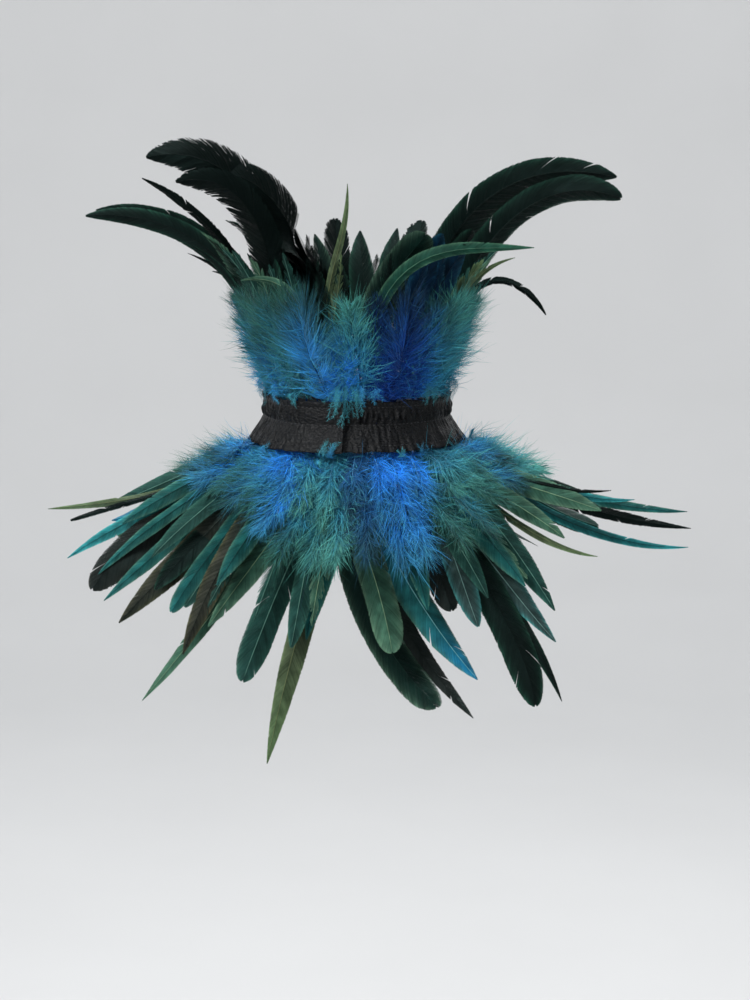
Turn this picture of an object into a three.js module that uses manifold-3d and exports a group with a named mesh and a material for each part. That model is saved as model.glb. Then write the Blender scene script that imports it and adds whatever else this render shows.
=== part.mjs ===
// Feather collar: a gathered satin neck band that laps and snaps at the front, a ruff of feathers
// standing above it and a cape of feathers spread over the shoulders below it.
// Millimetres, +Z up, the front faces -Y, origin in the middle of the neck hole at half the band's height.
// An azimuth is counted in degrees from the front, positive towards +X, the wearer's left.
import * as THREE from "three";
import { mergeVertices } from "three/addons/utils/BufferGeometryUtils.js";
import Module from "manifold-3d";

const wasm = await Module();
wasm.setup();

// Neck band
const BAND_WALL = 2;
const BAND_PLEATS = 28;
const STEPS_PER_PLEAT = 3;
const LAP_UNDER_END = -29; // azimuth where the hidden end of the band stops
const LAP_OVER_END = 353; // azimuth where the visible end stops, one turn further on
const LAP_LIFT = 4.8; // how far the visible end stands out over the hidden one
const LAP_LIFT_FROM = 290;
const LAP_LIFT_TO = 330;
const FLAT_PLEAT = 0.15; // share of the pleat depth that is left at the hemmed ends
const FLAT_REACH = 24; // degrees over which the pleats fade into a hemmed end
const BAND_LEVELS = [
  { height: -15, radius: 72, pleat: 1.0 }, // hem
  { height: -7, radius: 67, pleat: 0.8 }, // flare
  { height: 1, radius: 62, pleat: 0.3 }, // waist stitching over the elastic
  { height: 7, radius: 62.6, pleat: 0.7 },
  { height: 12, radius: 62, pleat: 0.3 }, // top stitching
  { height: 16, radius: 62.8, pleat: 0.7 }, // top edge
];

// Press stud between the lapped ends
const SNAP_RADIUS = 4.5;
const SNAP_THICKNESS = 1.2;
const SNAP_AZIMUTH = -18;
const SNAP_HEIGHT = 6.5;
const SNAP_SIDES = 16;

// Woven tapes that carry the quills, inside the band
const TAPE_RADIUS = 57;
const TAPE_WALL = 1.4;
const TAPE_STEP = 8; // degrees
const FRONT_SLIT = 3; // degrees on each side of the front where the tapes stop
const RUFF_TAPE = { low: 3, high: 13 };
const CAPE_TAPE = { low: -12, high: -3 };
const RUFF_ROOT_HEIGHT = 11;
const CAPE_ROOT_HEIGHT = -9.8;

// Quill paths: elevation at the root, and the share of a shaft that bends into its last direction
const RUFF_LAUNCH = 86;
const CAPE_LAUNCH = { front: -66, side: -57, back: -64 };
const TIP_HANDLE = 0.36;

// Feather sections: half widths and half thicknesses
const QUILL = { half_width: 1.1, half_thick: 0.8 };
const DOWN_NECK = { along: 9, half_width: 7, half_thick: 3 };
const VANE_RIDGE = 1.6;
const TIP_RIDGE = 1;
const PLUME_DOWN = { along: 44, widen: 0.55, plus: 2, half_thick: 4 };
const VANE_STEP = 56; // length of one straight stretch of vane
const TIP_SHAPES = {
  point: { along: 0.84, share: 0.72 },
  blade: { along: 0.88, share: 0.78 },
  round: { along: 0.94, share: 0.78 },
};
const DOWN_SECTIONS = [
  { along: 34, half_width: 18, half_thick: 10 },
  { along: 66, half_width: 18, half_thick: 8 },
];

// Plumes that show: azimuth of the quill, then the tip's azimuth, reach from the neck's axis and height,
// the share of its length that the shaft keeps its first direction, the elevation of the shaft at its tip,
// the vane's width, its roll about the shaft and the tip's shape
const PLUME_COLUMNS = ["root", "tip", "reach", "height", "rise", "arrive", "width", "roll", "shape"];
const RUFF_PLUMES = [
  [-138, -98, 142, 170, 0.55, -14, 30, -75, "blade"],
  [-152, -104, 108, 160, 0.46, -8, 28, -75, "blade"],
  [-120, -98, 130, 153, 0.5, -14, 24, -75, "blade"],
  [-106, -92, 180, 132, 0.5, -6, 15, 70, "point"],
  [-118, -97, 176, 135, 0.55, -4, 12, -60, "point"],
  [-116, -94, 143, 157, 0.45, 26, 7, -60, "point"],
  [-80, -88, 112, 115, 0.45, 28, 5, 50, "point"],
  [-26, -51, 95, 94, 0.7, -8, 6, 30, "point"],
  [-62, -66, 88, 112, 0.45, 55, 16, 40, "point"],
  [-42, -46, 78, 104, 0.45, 65, 16, 25, "round"],
  [-22, -5, 62, 156, 0.6, 78, 5, 20, "point"],
  [138, 96, 174, 157, 0.58, -14, 25, 75, "blade"],
  [112, 94, 176, 143, 0.55, -24, 19, 75, "round"],
  [6, 62, 129, 115, 0.8, 3, 9, -40, "point"],
  [9, 50, 92, 117, 0.6, 8, 9, -40, "point"],
  [4, 36, 76, 124, 0.6, 40, 22, -15, "round"],
  [50, 58, 84, 116, 0.45, 50, 18, -40, "point"],
  [66, 70, 88, 106, 0.45, 50, 16, -50, "point"],
  [80, 73, 108, 107, 0.6, 14, 4, -60, "point"],
  [92, 92, 126, 66, 1.2, -60, 5, -80, "point"],
];
const CAPE_PLUMES = [
  [-86, -83, 206, -59, 0.24, -4, 6, 0, "point"],
  [-81, -79, 192, -65, 0.24, -18, 4, 0, "round"],
  [-76, -77, 195, -89, 0.16, -34, 11, 20, "point"],
  [-71, -71, 182, -107, 0.16, -60, 23, 0, "round"],
  [-66, -71, 178, -97, 0.16, -45, 9, 0, "point"],
  [-61, -68, 177, -113, 0.16, -40, 12, 20, "point"],
  [-54, -64, 171, -126, 0.16, -45, 19, 0, "point"],
  [-47, -55, 145, -117, 0.15, -55, 15, 0, "round"],
  [-40, -50, 145, -143, 0.15, -66, 16, 0, "point"],
  [-26, -56, 166, -173, 0.16, -42, 9, 30, "point"],
  [-18, -46, 132, -125, 0.2, -44, 16, 0, "point"],
  [-12, -34, 129, -157, 0.2, -56, 20, 0, "round"],
  [-5, -24, 138, -206, 0.2, -64, 18, 10, "point"],
  [-4, -17, 108, -131, 0.2, -64, 14, 0, "point"],
  [-8, 12, 111, -138, 0.36, -50, 20, 0, "round"],
  [-7, 24, 126, -172, 0.6, -14, 22, 0, "round"],
  [4, 33, 137, -179, 0.56, -24, 13, 0, "point"],
  [4, 36, 132, -156, 0.46, -28, 20, 0, "point"],
  [24, 33, 112, -114, 0.2, -60, 18, 0, "round"],
  [32, 49, 152, -175, 0.2, -78, 22, 0, "round"],
  [38, 54, 163, -173, 0.15, -66, 10, 20, "point"],
  [34, 56, 155, -136, 0.2, -40, 18, 0, "point"],
  [49, 58, 151, -117, 0.15, -54, 16, 0, "point"],
  [56, 68, 169, -84, 0.16, -2, 5, 0, "point"],
  [63, 74, 173, -43, 0.22, 10, 4, 0, "point"],
  [68, 72, 168, -56, 0.28, -18, 16, 0, "point"],
  [73, 77, 187, -50, 0.16, 8, 6, 0, "point"],
  [77, 87, 222, -87, 0.14, 4, 7, 20, "point"],
  [82, 87, 221, -63, 0.14, 0, 8, 20, "point"],
  [87, 88, 224, -75, 0.14, -5, 9, 20, "point"],
];

// Rows of feathers that repeat: where they start and end, how many there are, and what their tips reach
const RUFF_BACK = { from: 106, to: 254, count: 11, reach: 82, rise: 0.42, height: 122, arrive: 58, width: 18 };
const RUFF_DOWN = { from: 12, to: 348, count: 15, reach: 79, height: 90, rise: 0.36, arrive: 72 };
const CAPE_BACK = { from: 98, to: 268, count: 13, reach: 168, rise: 0.16, width: 17 };
const CAPE_DOWN = { from: 7, to: 353, count: 19, reach: 122, rise: 0.3 };
const DOWN_FALL = { front: -95, side: -45, back: -80 }; // height of the cape's down at its ends
const DOWN_ARRIVE = { front: -62, side: -14, back: -55 }; // elevation of its shafts there
const BACK_FALL = 1.75; // the long feathers at the back fall this much further than the down
const SWING_STEP = 2.4; // radians from one feather's variation to the next
const SWING = { reach: 9, height: 5, azimuth: 2.5 };

// Colours
const COLOURS = {
  satin: 0x16181a,
  metal: 0x2a2c2e,
  ruff: 0x1c5f78,
  cape: 0x1d5a63,
};

const outwards = (azimuth) => {
  const a = THREE.MathUtils.degToRad(azimuth);
  return new THREE.Vector3(Math.sin(a), -Math.cos(a), 0);
};
const ringPoint = (azimuth, radius, height) => outwards(azimuth).multiplyScalar(radius).setZ(height);
const aimed = (azimuth, elevation) => {
  const e = THREE.MathUtils.degToRad(elevation);
  return outwards(azimuth).multiplyScalar(Math.cos(e)).setZ(Math.sin(e));
};
// A value that changes smoothly round the neck, given at the front, the sides and the back
const roundNeck = (azimuth, { front, side, back }) => {
  const c = Math.cos(THREE.MathUtils.degToRad(azimuth));
  return THREE.MathUtils.lerp(side, c > 0 ? front : back, c * c);
};
const namedRows = (columns, rows) =>
  rows.map((row) => Object.fromEntries(columns.map((name, i) => [name, row[i]])));

// A closed surface through a row of rings with as many points each, capped at both ends
function loft(rings) {
  const sides = rings[0].length;
  const points = rings.flat();
  const faces = [];
  for (let r = 0; r + 1 < rings.length; r++) {
    for (let i = 0; i < sides; i++) {
      const a = r * sides + i;
      const b = r * sides + ((i + 1) % sides);
      faces.push(a, b, b + sides, a, b + sides, a + sides);
    }
  }
  const last = (rings.length - 1) * sides;
  for (let i = 1; i + 1 < sides; i++) {
    faces.push(0, i + 1, i, last, last + i, last + i + 1);
  }
  const geometry = new THREE.BufferGeometry().setFromPoints(points);
  geometry.setIndex(faces);
  return geometry;
}

function toSolid(geometry) {
  const bare = geometry.clone();
  bare.deleteAttribute("normal");
  bare.deleteAttribute("uv");
  const merged = mergeVertices(bare, 1e-3);
  const corners = Array.from(merged.index.array);
  const kept = [];
  for (let i = 0; i < corners.length; i += 3) {
    const [a, b, c] = corners.slice(i, i + 3);
    if (a !== b && b !== c && a !== c) kept.push(a, b, c);
  }
  return new wasm.Manifold(
    new wasm.Mesh({
      numProp: 3,
      vertProperties: merged.attributes.position.array,
      triVerts: new Uint32Array(kept),
    }),
  );
}

function toGeometry(solid) {
  const { numProp, vertProperties, triVerts } = solid.getMesh();
  const positions = [];
  for (let i = 0; i < vertProperties.length; i += numProp) {
    positions.push(...vertProperties.subarray(i, i + 3));
  }
  const geometry = new THREE.BufferGeometry();
  geometry.setAttribute("position", new THREE.Float32BufferAttribute(positions, 3));
  geometry.setIndex(Array.from(triVerts));
  geometry.computeVertexNormals();
  return geometry;
}

const fused = (geometries) =>
  toGeometry(geometries.map(toSolid).reduce((whole, next) => whole.add(next)));

// Neck band: a pleated strip that runs once round the neck and laps over its own start
function bandSection(azimuth) {
  const lift = LAP_LIFT * THREE.MathUtils.smoothstep(azimuth, LAP_LIFT_FROM, LAP_LIFT_TO);
  const fromEnd = Math.min(azimuth - LAP_UNDER_END, LAP_OVER_END - azimuth);
  const depth = THREE.MathUtils.lerp(
    FLAT_PLEAT, 1, THREE.MathUtils.smoothstep(fromEnd, 0.5 * FLAT_REACH, 1.5 * FLAT_REACH));
  const wave = depth * Math.cos(THREE.MathUtils.degToRad(azimuth * BAND_PLEATS));
  const radiusAt = (level) => level.radius + lift + level.pleat * wave;
  const outside = BAND_LEVELS.map((l) => ringPoint(azimuth, radiusAt(l), l.height));
  const inside = BAND_LEVELS.map((l) => ringPoint(azimuth, radiusAt(l) - BAND_WALL, l.height));
  return [...outside, ...inside.reverse()];
}

function neckBand() {
  const turn = LAP_OVER_END - LAP_UNDER_END;
  const steps = Math.round((turn / 360) * BAND_PLEATS * STEPS_PER_PLEAT);
  const sections = [];
  for (let i = 0; i <= steps; i++) {
    sections.push(bandSection(LAP_UNDER_END + (turn * i) / steps));
  }
  return loft(sections.reverse());
}

// Press stud: one flat disc in the middle of the lap
function snapFastener() {
  const waist = BAND_LEVELS.find((l) => l.height > SNAP_HEIGHT).radius;
  const radius = waist + (LAP_LIFT - BAND_WALL) / 2;
  const disc = new THREE.CylinderGeometry(SNAP_RADIUS, SNAP_RADIUS, SNAP_THICKNESS, SNAP_SIDES);
  const upright = new THREE.Quaternion().setFromUnitVectors(
    new THREE.Vector3(0, 1, 0), outwards(SNAP_AZIMUTH));
  disc.applyQuaternion(upright);
  const at = ringPoint(SNAP_AZIMUTH, radius, SNAP_HEIGHT);
  return disc.translate(at.x, at.y, at.z);
}

// Tape: a flat strip round the neck that stops at the front slit
function tape({ low, high }) {
  const turn = 360 - 2 * FRONT_SLIT;
  const steps = Math.round(turn / TAPE_STEP);
  const inner = TAPE_RADIUS - TAPE_WALL / 2;
  const outer = TAPE_RADIUS + TAPE_WALL / 2;
  const sections = [];
  for (let i = 0; i <= steps; i++) {
    const azimuth = FRONT_SLIT + (turn * i) / steps;
    sections.push([
      ringPoint(azimuth, outer, low),
      ringPoint(azimuth, outer, high),
      ringPoint(azimuth, inner, high),
      ringPoint(azimuth, inner, low),
    ]);
  }
  return loft(sections.reverse());
}

// Shaft of a feather, from its quill on the tape to its tip
function shaft(row, rootHeight, launch) {
  const root = ringPoint(row.root, TAPE_RADIUS, rootHeight);
  const tip = ringPoint(row.tip, row.reach, row.height);
  const chord = root.distanceTo(tip);
  const leave = aimed(row.root, launch).multiplyScalar(row.rise * chord).add(root);
  const arrive = aimed(row.tip, row.arrive).multiplyScalar(-TIP_HANDLE * chord).add(tip);
  return new THREE.CubicBezierCurve3(root, leave, arrive, tip);
}
const ruffShaft = (row) => shaft(row, RUFF_ROOT_HEIGHT, RUFF_LAUNCH);
const capeShaft = (row) => shaft(row, CAPE_ROOT_HEIGHT, roundNeck(row.root, CAPE_LAUNCH));

// Feather solid: sections across the shaft, whose ridge is the quill and whose edges are the vane's
function featherSolid(curve, row, sections, lean, backed) {
  const length = curve.getLength();
  const rings = sections.map(({ along, half_width, half_thick }) => {
    const u = along / length;
    const centre = curve.getPointAt(u);
    const along_shaft = curve.getTangentAt(u);
    const out = centre.clone().setZ(0).normalize();
    const face = out.addScaledVector(new THREE.Vector3(0, 0, 1), lean);
    face.addScaledVector(along_shaft, -face.dot(along_shaft)).normalize();
    face.applyAxisAngle(along_shaft, THREE.MathUtils.degToRad(row.roll ?? 0));
    const side = along_shaft.clone().cross(face);
    const corners = [
      centre.clone().addScaledVector(side, half_width),
      centre.clone().addScaledVector(face, half_thick),
      centre.clone().addScaledVector(side, -half_width),
    ];
    if (backed) corners.push(centre.clone().addScaledVector(face, -half_thick));
    return corners;
  });
  return loft(rings.map((ring) => ring.reverse()));
}

function plumeSections(row, length) {
  const half = row.width / 2;
  const tipShape = TIP_SHAPES[row.shape];
  const vaneSteps = Math.max(1, Math.round((length * tipShape.along - PLUME_DOWN.along) / VANE_STEP));
  const sections = [
    { along: 0, ...QUILL },
    {
      along: PLUME_DOWN.along,
      half_width: half * PLUME_DOWN.widen + PLUME_DOWN.plus,
      half_thick: Math.min(PLUME_DOWN.half_thick, half),
    },
  ];
  for (let i = 1; i <= vaneSteps; i++) {
    const share = i / vaneSteps;
    sections.push({
      along: THREE.MathUtils.lerp(PLUME_DOWN.along, tipShape.along * length, share),
      half_width: half * (i === vaneSteps ? tipShape.share : 1),
      half_thick: THREE.MathUtils.lerp(VANE_RIDGE, TIP_RIDGE, share),
    });
  }
  return [...sections, { along: length, half_width: 0, half_thick: 0 }];
}

const downSections = (length) => [
  { along: 0, ...QUILL },
  DOWN_NECK,
  ...DOWN_SECTIONS.filter((s) => s.along < length - 6),
  { along: length, half_width: 0, half_thick: 0 },
];

const RUFF_LEAN = -1; // the outer face turns down as the shaft bends outwards
const CAPE_LEAN = 1; // the outer face turns up as the shaft levels out

const plume = (curve, row, lean) =>
  featherSolid(curve, row, plumeSections(row, curve.getLength()), lean, false);
const down = (curve, row, lean) =>
  featherSolid(curve, row, downSections(curve.getLength()), lean, true);

// Rows that repeat: even spacing with a small swing from feather to feather
const capeEnd = (azimuth, share) => ({
  height: share * roundNeck(azimuth, DOWN_FALL),
  arrive: roundNeck(azimuth, DOWN_ARRIVE),
});

function spacedRows({ from, to, count, reach, rise, width }, endAt) {
  const rows = [];
  for (let i = 0; i < count; i++) {
    const swing = Math.sin(i * SWING_STEP);
    const azimuth = from + ((to - from) * i) / (count - 1);
    const end = endAt(azimuth);
    rows.push({
      root: azimuth,
      tip: azimuth + SWING.azimuth * Math.cos(i * SWING_STEP),
      reach: reach + SWING.reach * swing,
      height: end.height + SWING.height * swing,
      rise,
      arrive: end.arrive,
      width,
      shape: i % 3 ? "point" : "round",
    });
  }
  return rows;
}

function ruffTrim() {
  const plumes = [
    ...namedRows(PLUME_COLUMNS, RUFF_PLUMES),
    ...spacedRows(RUFF_BACK, () => RUFF_BACK),
  ].map((row) => plume(ruffShaft(row), row, RUFF_LEAN));
  const downs = spacedRows(RUFF_DOWN, () => RUFF_DOWN).map((row) => down(ruffShaft(row), row, RUFF_LEAN));
  return fused([tape(RUFF_TAPE), ...downs, ...plumes]);
}

function capeTrim() {
  const plumes = [
    ...namedRows(PLUME_COLUMNS, CAPE_PLUMES),
    ...spacedRows(CAPE_BACK, (azimuth) => capeEnd(azimuth, BACK_FALL)),
  ].map((row) => plume(capeShaft(row), row, CAPE_LEAN));
  const downs = spacedRows(CAPE_DOWN, (azimuth) => capeEnd(azimuth, 1)).map((row) =>
    down(capeShaft(row), row, CAPE_LEAN));
  return fused([tape(CAPE_TAPE), ...downs, ...plumes]);
}

function piece(name, geometry, colour, roughness, metalness = 0) {
  const material = new THREE.MeshStandardMaterial({ color: colour, roughness, metalness });
  const mesh = new THREE.Mesh(geometry, material);
  mesh.name = name;
  return mesh;
}

const collar = new THREE.Group();
collar.add(
  piece("neck_band", neckBand(), COLOURS.satin, 0.5),
  piece("snap_fastener", snapFastener(), COLOURS.metal, 0.35, 0.9),
  piece("ruff_trim", ruffTrim(), COLOURS.ruff, 0.6),
  piece("cape_trim", capeTrim(), COLOURS.cape, 0.6),
);

export default collar;
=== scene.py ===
# Feather collar: gathered satin band, two trims of dyed feathers on woven tapes, press stud in the lap.
# Lengths are millimetres until a mesh is made, which is in metres. The front faces -Y and +Z is up.
# An azimuth is in degrees from the front, positive towards +X. An elevation is in degrees above level.
import bpy
import numpy as np
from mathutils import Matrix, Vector


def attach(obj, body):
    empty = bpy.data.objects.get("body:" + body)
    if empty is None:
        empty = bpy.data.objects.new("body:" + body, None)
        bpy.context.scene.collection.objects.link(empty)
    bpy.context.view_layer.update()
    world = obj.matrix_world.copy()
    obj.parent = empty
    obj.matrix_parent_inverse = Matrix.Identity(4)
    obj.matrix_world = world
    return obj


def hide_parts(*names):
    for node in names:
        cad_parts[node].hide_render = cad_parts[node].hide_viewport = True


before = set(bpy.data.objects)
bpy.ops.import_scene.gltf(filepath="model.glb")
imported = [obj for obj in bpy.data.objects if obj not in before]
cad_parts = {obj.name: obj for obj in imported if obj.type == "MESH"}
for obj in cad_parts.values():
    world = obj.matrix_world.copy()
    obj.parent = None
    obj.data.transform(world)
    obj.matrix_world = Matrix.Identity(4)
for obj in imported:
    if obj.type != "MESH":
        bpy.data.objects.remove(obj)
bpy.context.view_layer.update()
rng = np.random.default_rng(11)
MM = 0.001

# Neck band: its form as in the solids, then its mesh, its stitches and its flat size
BAND_WALL = 2.0
LAP_UNDER_END = -29
LAP_OVER_END = 353
LAP_LIFT = 4.8
LAP_LIFT_FROM = 290
LAP_LIFT_TO = 330
FLAT_PLEAT = 0.15
FLAT_REACH = 24
BAND_HEIGHTS = (-15, -7, 1, 7, 12, 16)
BAND_RADII = (72, 67, 62, 62.6, 62, 62.8)
STITCH_HEIGHTS = (-11.2, 1.4, 12.6)  # hem, waist and top rows
BAND_LOW = -15
BAND_HIGH = 16
BAND_COLUMNS = 800
BAND_OUTER_ROWS = 40
BAND_INNER_ROWS = 14
STITCH_LENGTH = 2.2
STITCH_PITCH = 2.9
THREAD = 0.2
STITCH_RISE = 0.34
STITCH_SINK = 0.1
STITCH_SIDES = 5
END_STITCHES = 3.2  # degrees from the end that lies on top
THREAD_COLOUR = (30, 31, 34)
SATIN_COLOUR = (3, 4, 6)
FOLD_PAINTED_SHADE = (0.8, 1.25)  # painted shade in the folds and painted highlight on top of them
# Gathers: turns round the neck from and to, number of waves and how much they slant
WIDE_RIPPLES = (22, 44, 8, 0.12)
GATHERS = (58, 116, 12, 0.26)
FINE_GATHERS = (120, 180, 9, 0.5)
EDGE_WANDER = (10, 30, 4, 0)
# Depths of the gathers in the upper half, the header, next to the waist and in the skirt
GATHER_DEPTHS = (0.46, 0.34, 0.36, 0.36)
FINE_DEPTHS = (0.15, 0.1, 0.1, 0.08)
WIDE_DEPTH = 0.56  # in the skirt alone
EDGE_SWAY = 0.35
GROOVE_DEPTH = 0.28
GROOVE_WIDTH = 0.6
EDGE_ROUND = 0.35
END_ROUND = 1.2  # degrees over which the wall closes at both ends
LEVEL_BLUR = 1.5

# Press stud, as in the solids
SNAP_AZIMUTH = -18
SNAP_HEIGHT = 6.5
SNAP_CENTRE = 64.0
SNAP_SIDES = 40
SNAP_COLOUR = (42, 43, 45)
# Half of the outline, radius and height: a shallow dome and a flange with a rolled rim
SNAP_HALF = [(0, 0.6), (0.9, 0.6), (1.6, 0.5), (2.1, 0.3), (2.7, 0.28), (3.3, 0.34), (3.9, 0.5),
             (4.3, 0.46), (4.5, 0.2)]

# Tapes and quills: their form as in the solids, then what is added
TAPE_RADIUS = 57
TAPE_WALL = 1.4
FRONT_SLIT = 3
RUFF_TAPE = (3, 13)
CAPE_TAPE = (-12, -3)
TIP_HANDLE = 0.36
NECK_CLEAR = 47  # no fibre comes nearer to the neck's axis
BAND_CLEAR = 6  # no barb crosses the band this close to it
TAPE_COLUMNS = 240
TAPE_STITCH = 4.0
TAPE_SECTION = 24
TAPE_SQUARE = 0.85
TAPE_RIBS = 240
RIB_DEPTH = 0.04
TAPE_COLOUR = (24, 26, 30)
TAPE_CLEAR = 1
EDGE_CLEAR = 1.2
BAND_RELIEF = 1.8  # room for the gathers

# Feather make-up
BARB_PITCH = 0.95
BARB_STATIONS = np.array([0, 0.25, 0.55, 0.8, 1.0])
DOWN_STATIONS = np.array([0, 0.36, 0.7, 1.0])
DOWN_TAPER = np.array([0.8, 1.0, 0.8, 0.12])
VANE_TAPER = np.array([1.0, 1.0, 1.0, 1.0, 0.75])
DOWN_WIDTH = 0.25
PLUME_BARBS = 150
CORE_BARBS = 130
RUFF_BARBS = 1190
CAPE_BARBS = 860
BACK_BARBS = 480
TUFT_BARBS = 400
LOCK_BARBS = 9
CORE_WIDTH = 1.7
STRAY_SHARE = 0.34  # barbs that leave the lie of their lock, painted lighter as a highlight
SHOWN_SHAFTS = (-18, 26)  # roots of the two ruff down feathers whose barbs lie combed
COMBED_SINK = -7
SHAFT_SIDES = 5
SHAFT_SECTIONS = 22
KEEL = 0.2  # slope of the vane to each side of the shaft
CUP = 0.008
FORWARD = 2.0  # how far the faces of the plumes at the front and the sides turn to the front
DOWN_FORWARD = 0.6
TURN_ALONG = (8, 40)  # where along the shaft the turn begins and is complete
PATH_POINTS = 121
OUTLINE_SAMPLES = 400
FULL_TURN = 6.3  # radians, rounded up

# Barbs of a vane: shares and factors, unless a comment says otherwise
ROOT_WIDTH = 0.6  # share of the full width
ROOT_RUN = 0.3
VANE_SKEW = 0.14
VANE_SHADE = (0.82, 1.15)
WISP_RAGGED = 0.45
WISP_THICK = 0.65
WISP_ANGLE = 26  # degrees from the shaft
BARB_ANGLES = (44, 25)  # the same, near the down and at the tip
BARB_SWEEP = 1.25
BARB_COVER = 0.62
BARB_GAPS = (0.2, 2.5)
ROOT_THICK = 0.5
LOOSE_AT_ROOT = 0.3
LOOSE_RUN = 0.25
LOOSE_LIFT = 0.06
BARB_TILT = (0.07, 0.04)  # mean and spread
RIPPLE = 0.5
RIPPLE_TURN = 0.17
FEW_SPLITS = 3
RAGGED_SPLITS = 16
RAGGED_GAP = 5
SMALL_GAP = (0.25, 1.0)
SMALL_REACH = (2, 6)
TIP_MARGIN = 4
MIDDLE_RUN = (0.05, 0.45)  # where along the vane its middle tone comes in
TIP_RUN = (0.55, 1)
RIM_POWER = 6
RIM_SHARE = (0.3, 1)
# painted light on one side of the shaft and painted shade on the other
SIDE_PAINTED_LIGHT = 0.12
SHAFT_SHADE = 0.8
SHAFT_SHADE_RUN = 0.4
STREAK_BARBS = 7
STREAK = 0.32
FINE_STREAK = 0.1
STREAK_ENDS = (0.55, 1.5)
BAR_DEPTH = 0.3
BAR_TURN = 1.5
BAR_ENDS = (-0.2, 0.6)
VANE_MAP = (0.45, 0.42)  # middle and half width in a cell of the map
VANE_RIDGES = 3
VANE_START = 38  # from the root, at the most
VANE_START_SHARE = 0.36  # of the shaft, where that is less
VANE_TWIST = 16
VANE_BOW = 3
SHAFT_THICK = (0.5, 0.012)  # least, and added for each millimetre of the vane's width
SHAFT_TIP = 0.16
SHAFT_TAPER = 0.7
SHAFT_PROUD = 0.1
SHAFT_MAP = 0.97
QUILL_RUN = (25, 55)

# Barbs of the down: leans and lifts are spreads in degrees
FEWEST_LOCKS = 6
LOCK_LEAN = 9
BARB_LEAN = (5, 13)  # combed, and added where they lie loose
LOCK_LIFT = 17
BARB_LIFT = (6, 18)
LOCK_SIZE = (0.5, 0.62)  # least, and the most that is added
BARB_SIZE = (0.62, 1.12)
ALONG_SCATTER = 0.025
ROOT_SCATTER = 1.6
STRAY_TURN = 0.55
STRAY_WIDTH = 1.05
# painted highlight on the stray barbs
STRAY_PAINTED_HIGHLIGHT = 1.42
CURL = (0.26, 0.14)  # mean and spread
LOCK_BEND = 0.1
BARB_BEND = (0.05, 0.13)
WANDER = (0.2, 1.1)
WANDER_TURN = 6
WIDTH_SPREAD = (0.75, 1.25)
FACING_SCATTER = 0.35
TONE_SCATTER = 0.1
SIDE_RUN = (0.3, 0.95)
FAR_RUN = (0.5, 1.15)
DEPTH_PAINTED_SHADE = (0.6, 0.54)  # painted shade on barbs that lie deep between the others, and the lightening added for those on top
BARB_PAINTED_SHADE = (0.78, 1.12)  # painted shade at the shaft and lighter at the tip
LOCK_SHADE = 0.17
DOWN_RIDGES = 2
DOWN_MAP = 0.9
DOWN_TWIST = 30
DOWN_BOW = 4
DOWN_SPREAD = (0.9, 1.15)
DOWN_BACK_SWING = 4
PLUME_DOWN = (7, 54)  # mm along a plume's shaft
PLUME_SPREAD = 16
DOWN_PUFF = 10
CORE_PUFF = -8
# painted shade on the core lock that lies under the loose barbs
CORE_PAINTED_SHADE = 0.75
CORE_SPREAD = 0.8
CORE_START = 2
DOWN_START = 6
COMBED_LOOSE = 0.2
DOWN_SHAFT = 0.6
COMBED_SHAFT = 0.9

# The two trims: height of the quills' roots, elevation there at the front, side and back, tilt of the
# faces, between which places from back (-1) to front (1) they turn to the front, angles of the down's
# barbs at its root and tip, its length and number of barbs, how far the plumes rise over the down,
# which tones lie deeper and the colour of the quills
RUFF = {
    "above": True,
    "root_height": 11,
    "launch": (86, 86, 86),
    "lean": -1,
    "turn": (-1.0, -0.3),
    "fan": (76, 30),
    "down_length": 72,
    "barbs": RUFF_BARBS,
    "raise": 0,
    "sink": {"green": -5, "leaf": -11, "deep_blue": -3},
    "quill": (14, 48, 92),
}
CAPE = {
    "above": False,
    "root_height": -9.8,
    "launch": (-66, -57, -64),
    "lean": 1,
    "turn": (-0.5, 0.1),
    "fan": (60, 24),
    "down_length": 84,
    "barbs": CAPE_BARBS,
    "raise": -3,
    "sink": {"grey_black": 6, "green_black": 5},
    "quill": (88, 156, 206),
}

# Colours, as display values out of 255. Vanes: near the down, middle, tip, edge and shaft
TONES = {
    "black": ((5, 12, 11), (2, 3, 3), (2, 3, 3), (5, 13, 11), (2, 2, 2)),
    "green_black": ((16, 44, 42), (12, 22, 20), (9, 15, 14), (36, 74, 60), (8, 12, 11)),
    "moss": ((12, 40, 37), (7, 24, 21), (12, 36, 30), (78, 108, 90), (20, 42, 36)),
    "dark_green": ((30, 82, 80), (33, 68, 62), (29, 60, 55), (60, 108, 94), (92, 138, 124)),
    "green": ((38, 88, 80), (56, 94, 78), (68, 106, 86), (106, 140, 114), (118, 148, 116)),
    "leaf": ((24, 64, 56), (30, 72, 58), (38, 86, 68), (84, 124, 98), (66, 106, 84)),
    "olive": ((38, 66, 58), (80, 92, 68), (92, 118, 80), (114, 136, 94), (108, 118, 80)),
    "teal": ((26, 90, 98), (24, 80, 78), (30, 94, 94), (84, 132, 112), (14, 48, 50)),
    "bright_teal": ((26, 94, 106), (26, 92, 94), (44, 140, 146), (86, 190, 190), (16, 56, 60)),
    "blue_teal": ((30, 96, 106), (34, 98, 100), (18, 100, 138), (74, 120, 102), (112, 176, 180)),
    "brown": ((34, 50, 50), (56, 57, 50), (50, 49, 42), (92, 92, 64), (26, 26, 23)),
    "slate": ((40, 82, 82), (54, 74, 72), (48, 66, 66), (72, 150, 148), (112, 150, 144)),
    "grey_black": ((24, 36, 38), (32, 34, 33), (25, 26, 26), (46, 48, 44), (18, 18, 18)),
    "deep_blue": ((10, 50, 104), (8, 34, 64), (10, 38, 56), (26, 78, 100), (6, 20, 42)),
}
BARRED = "brown"
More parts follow.
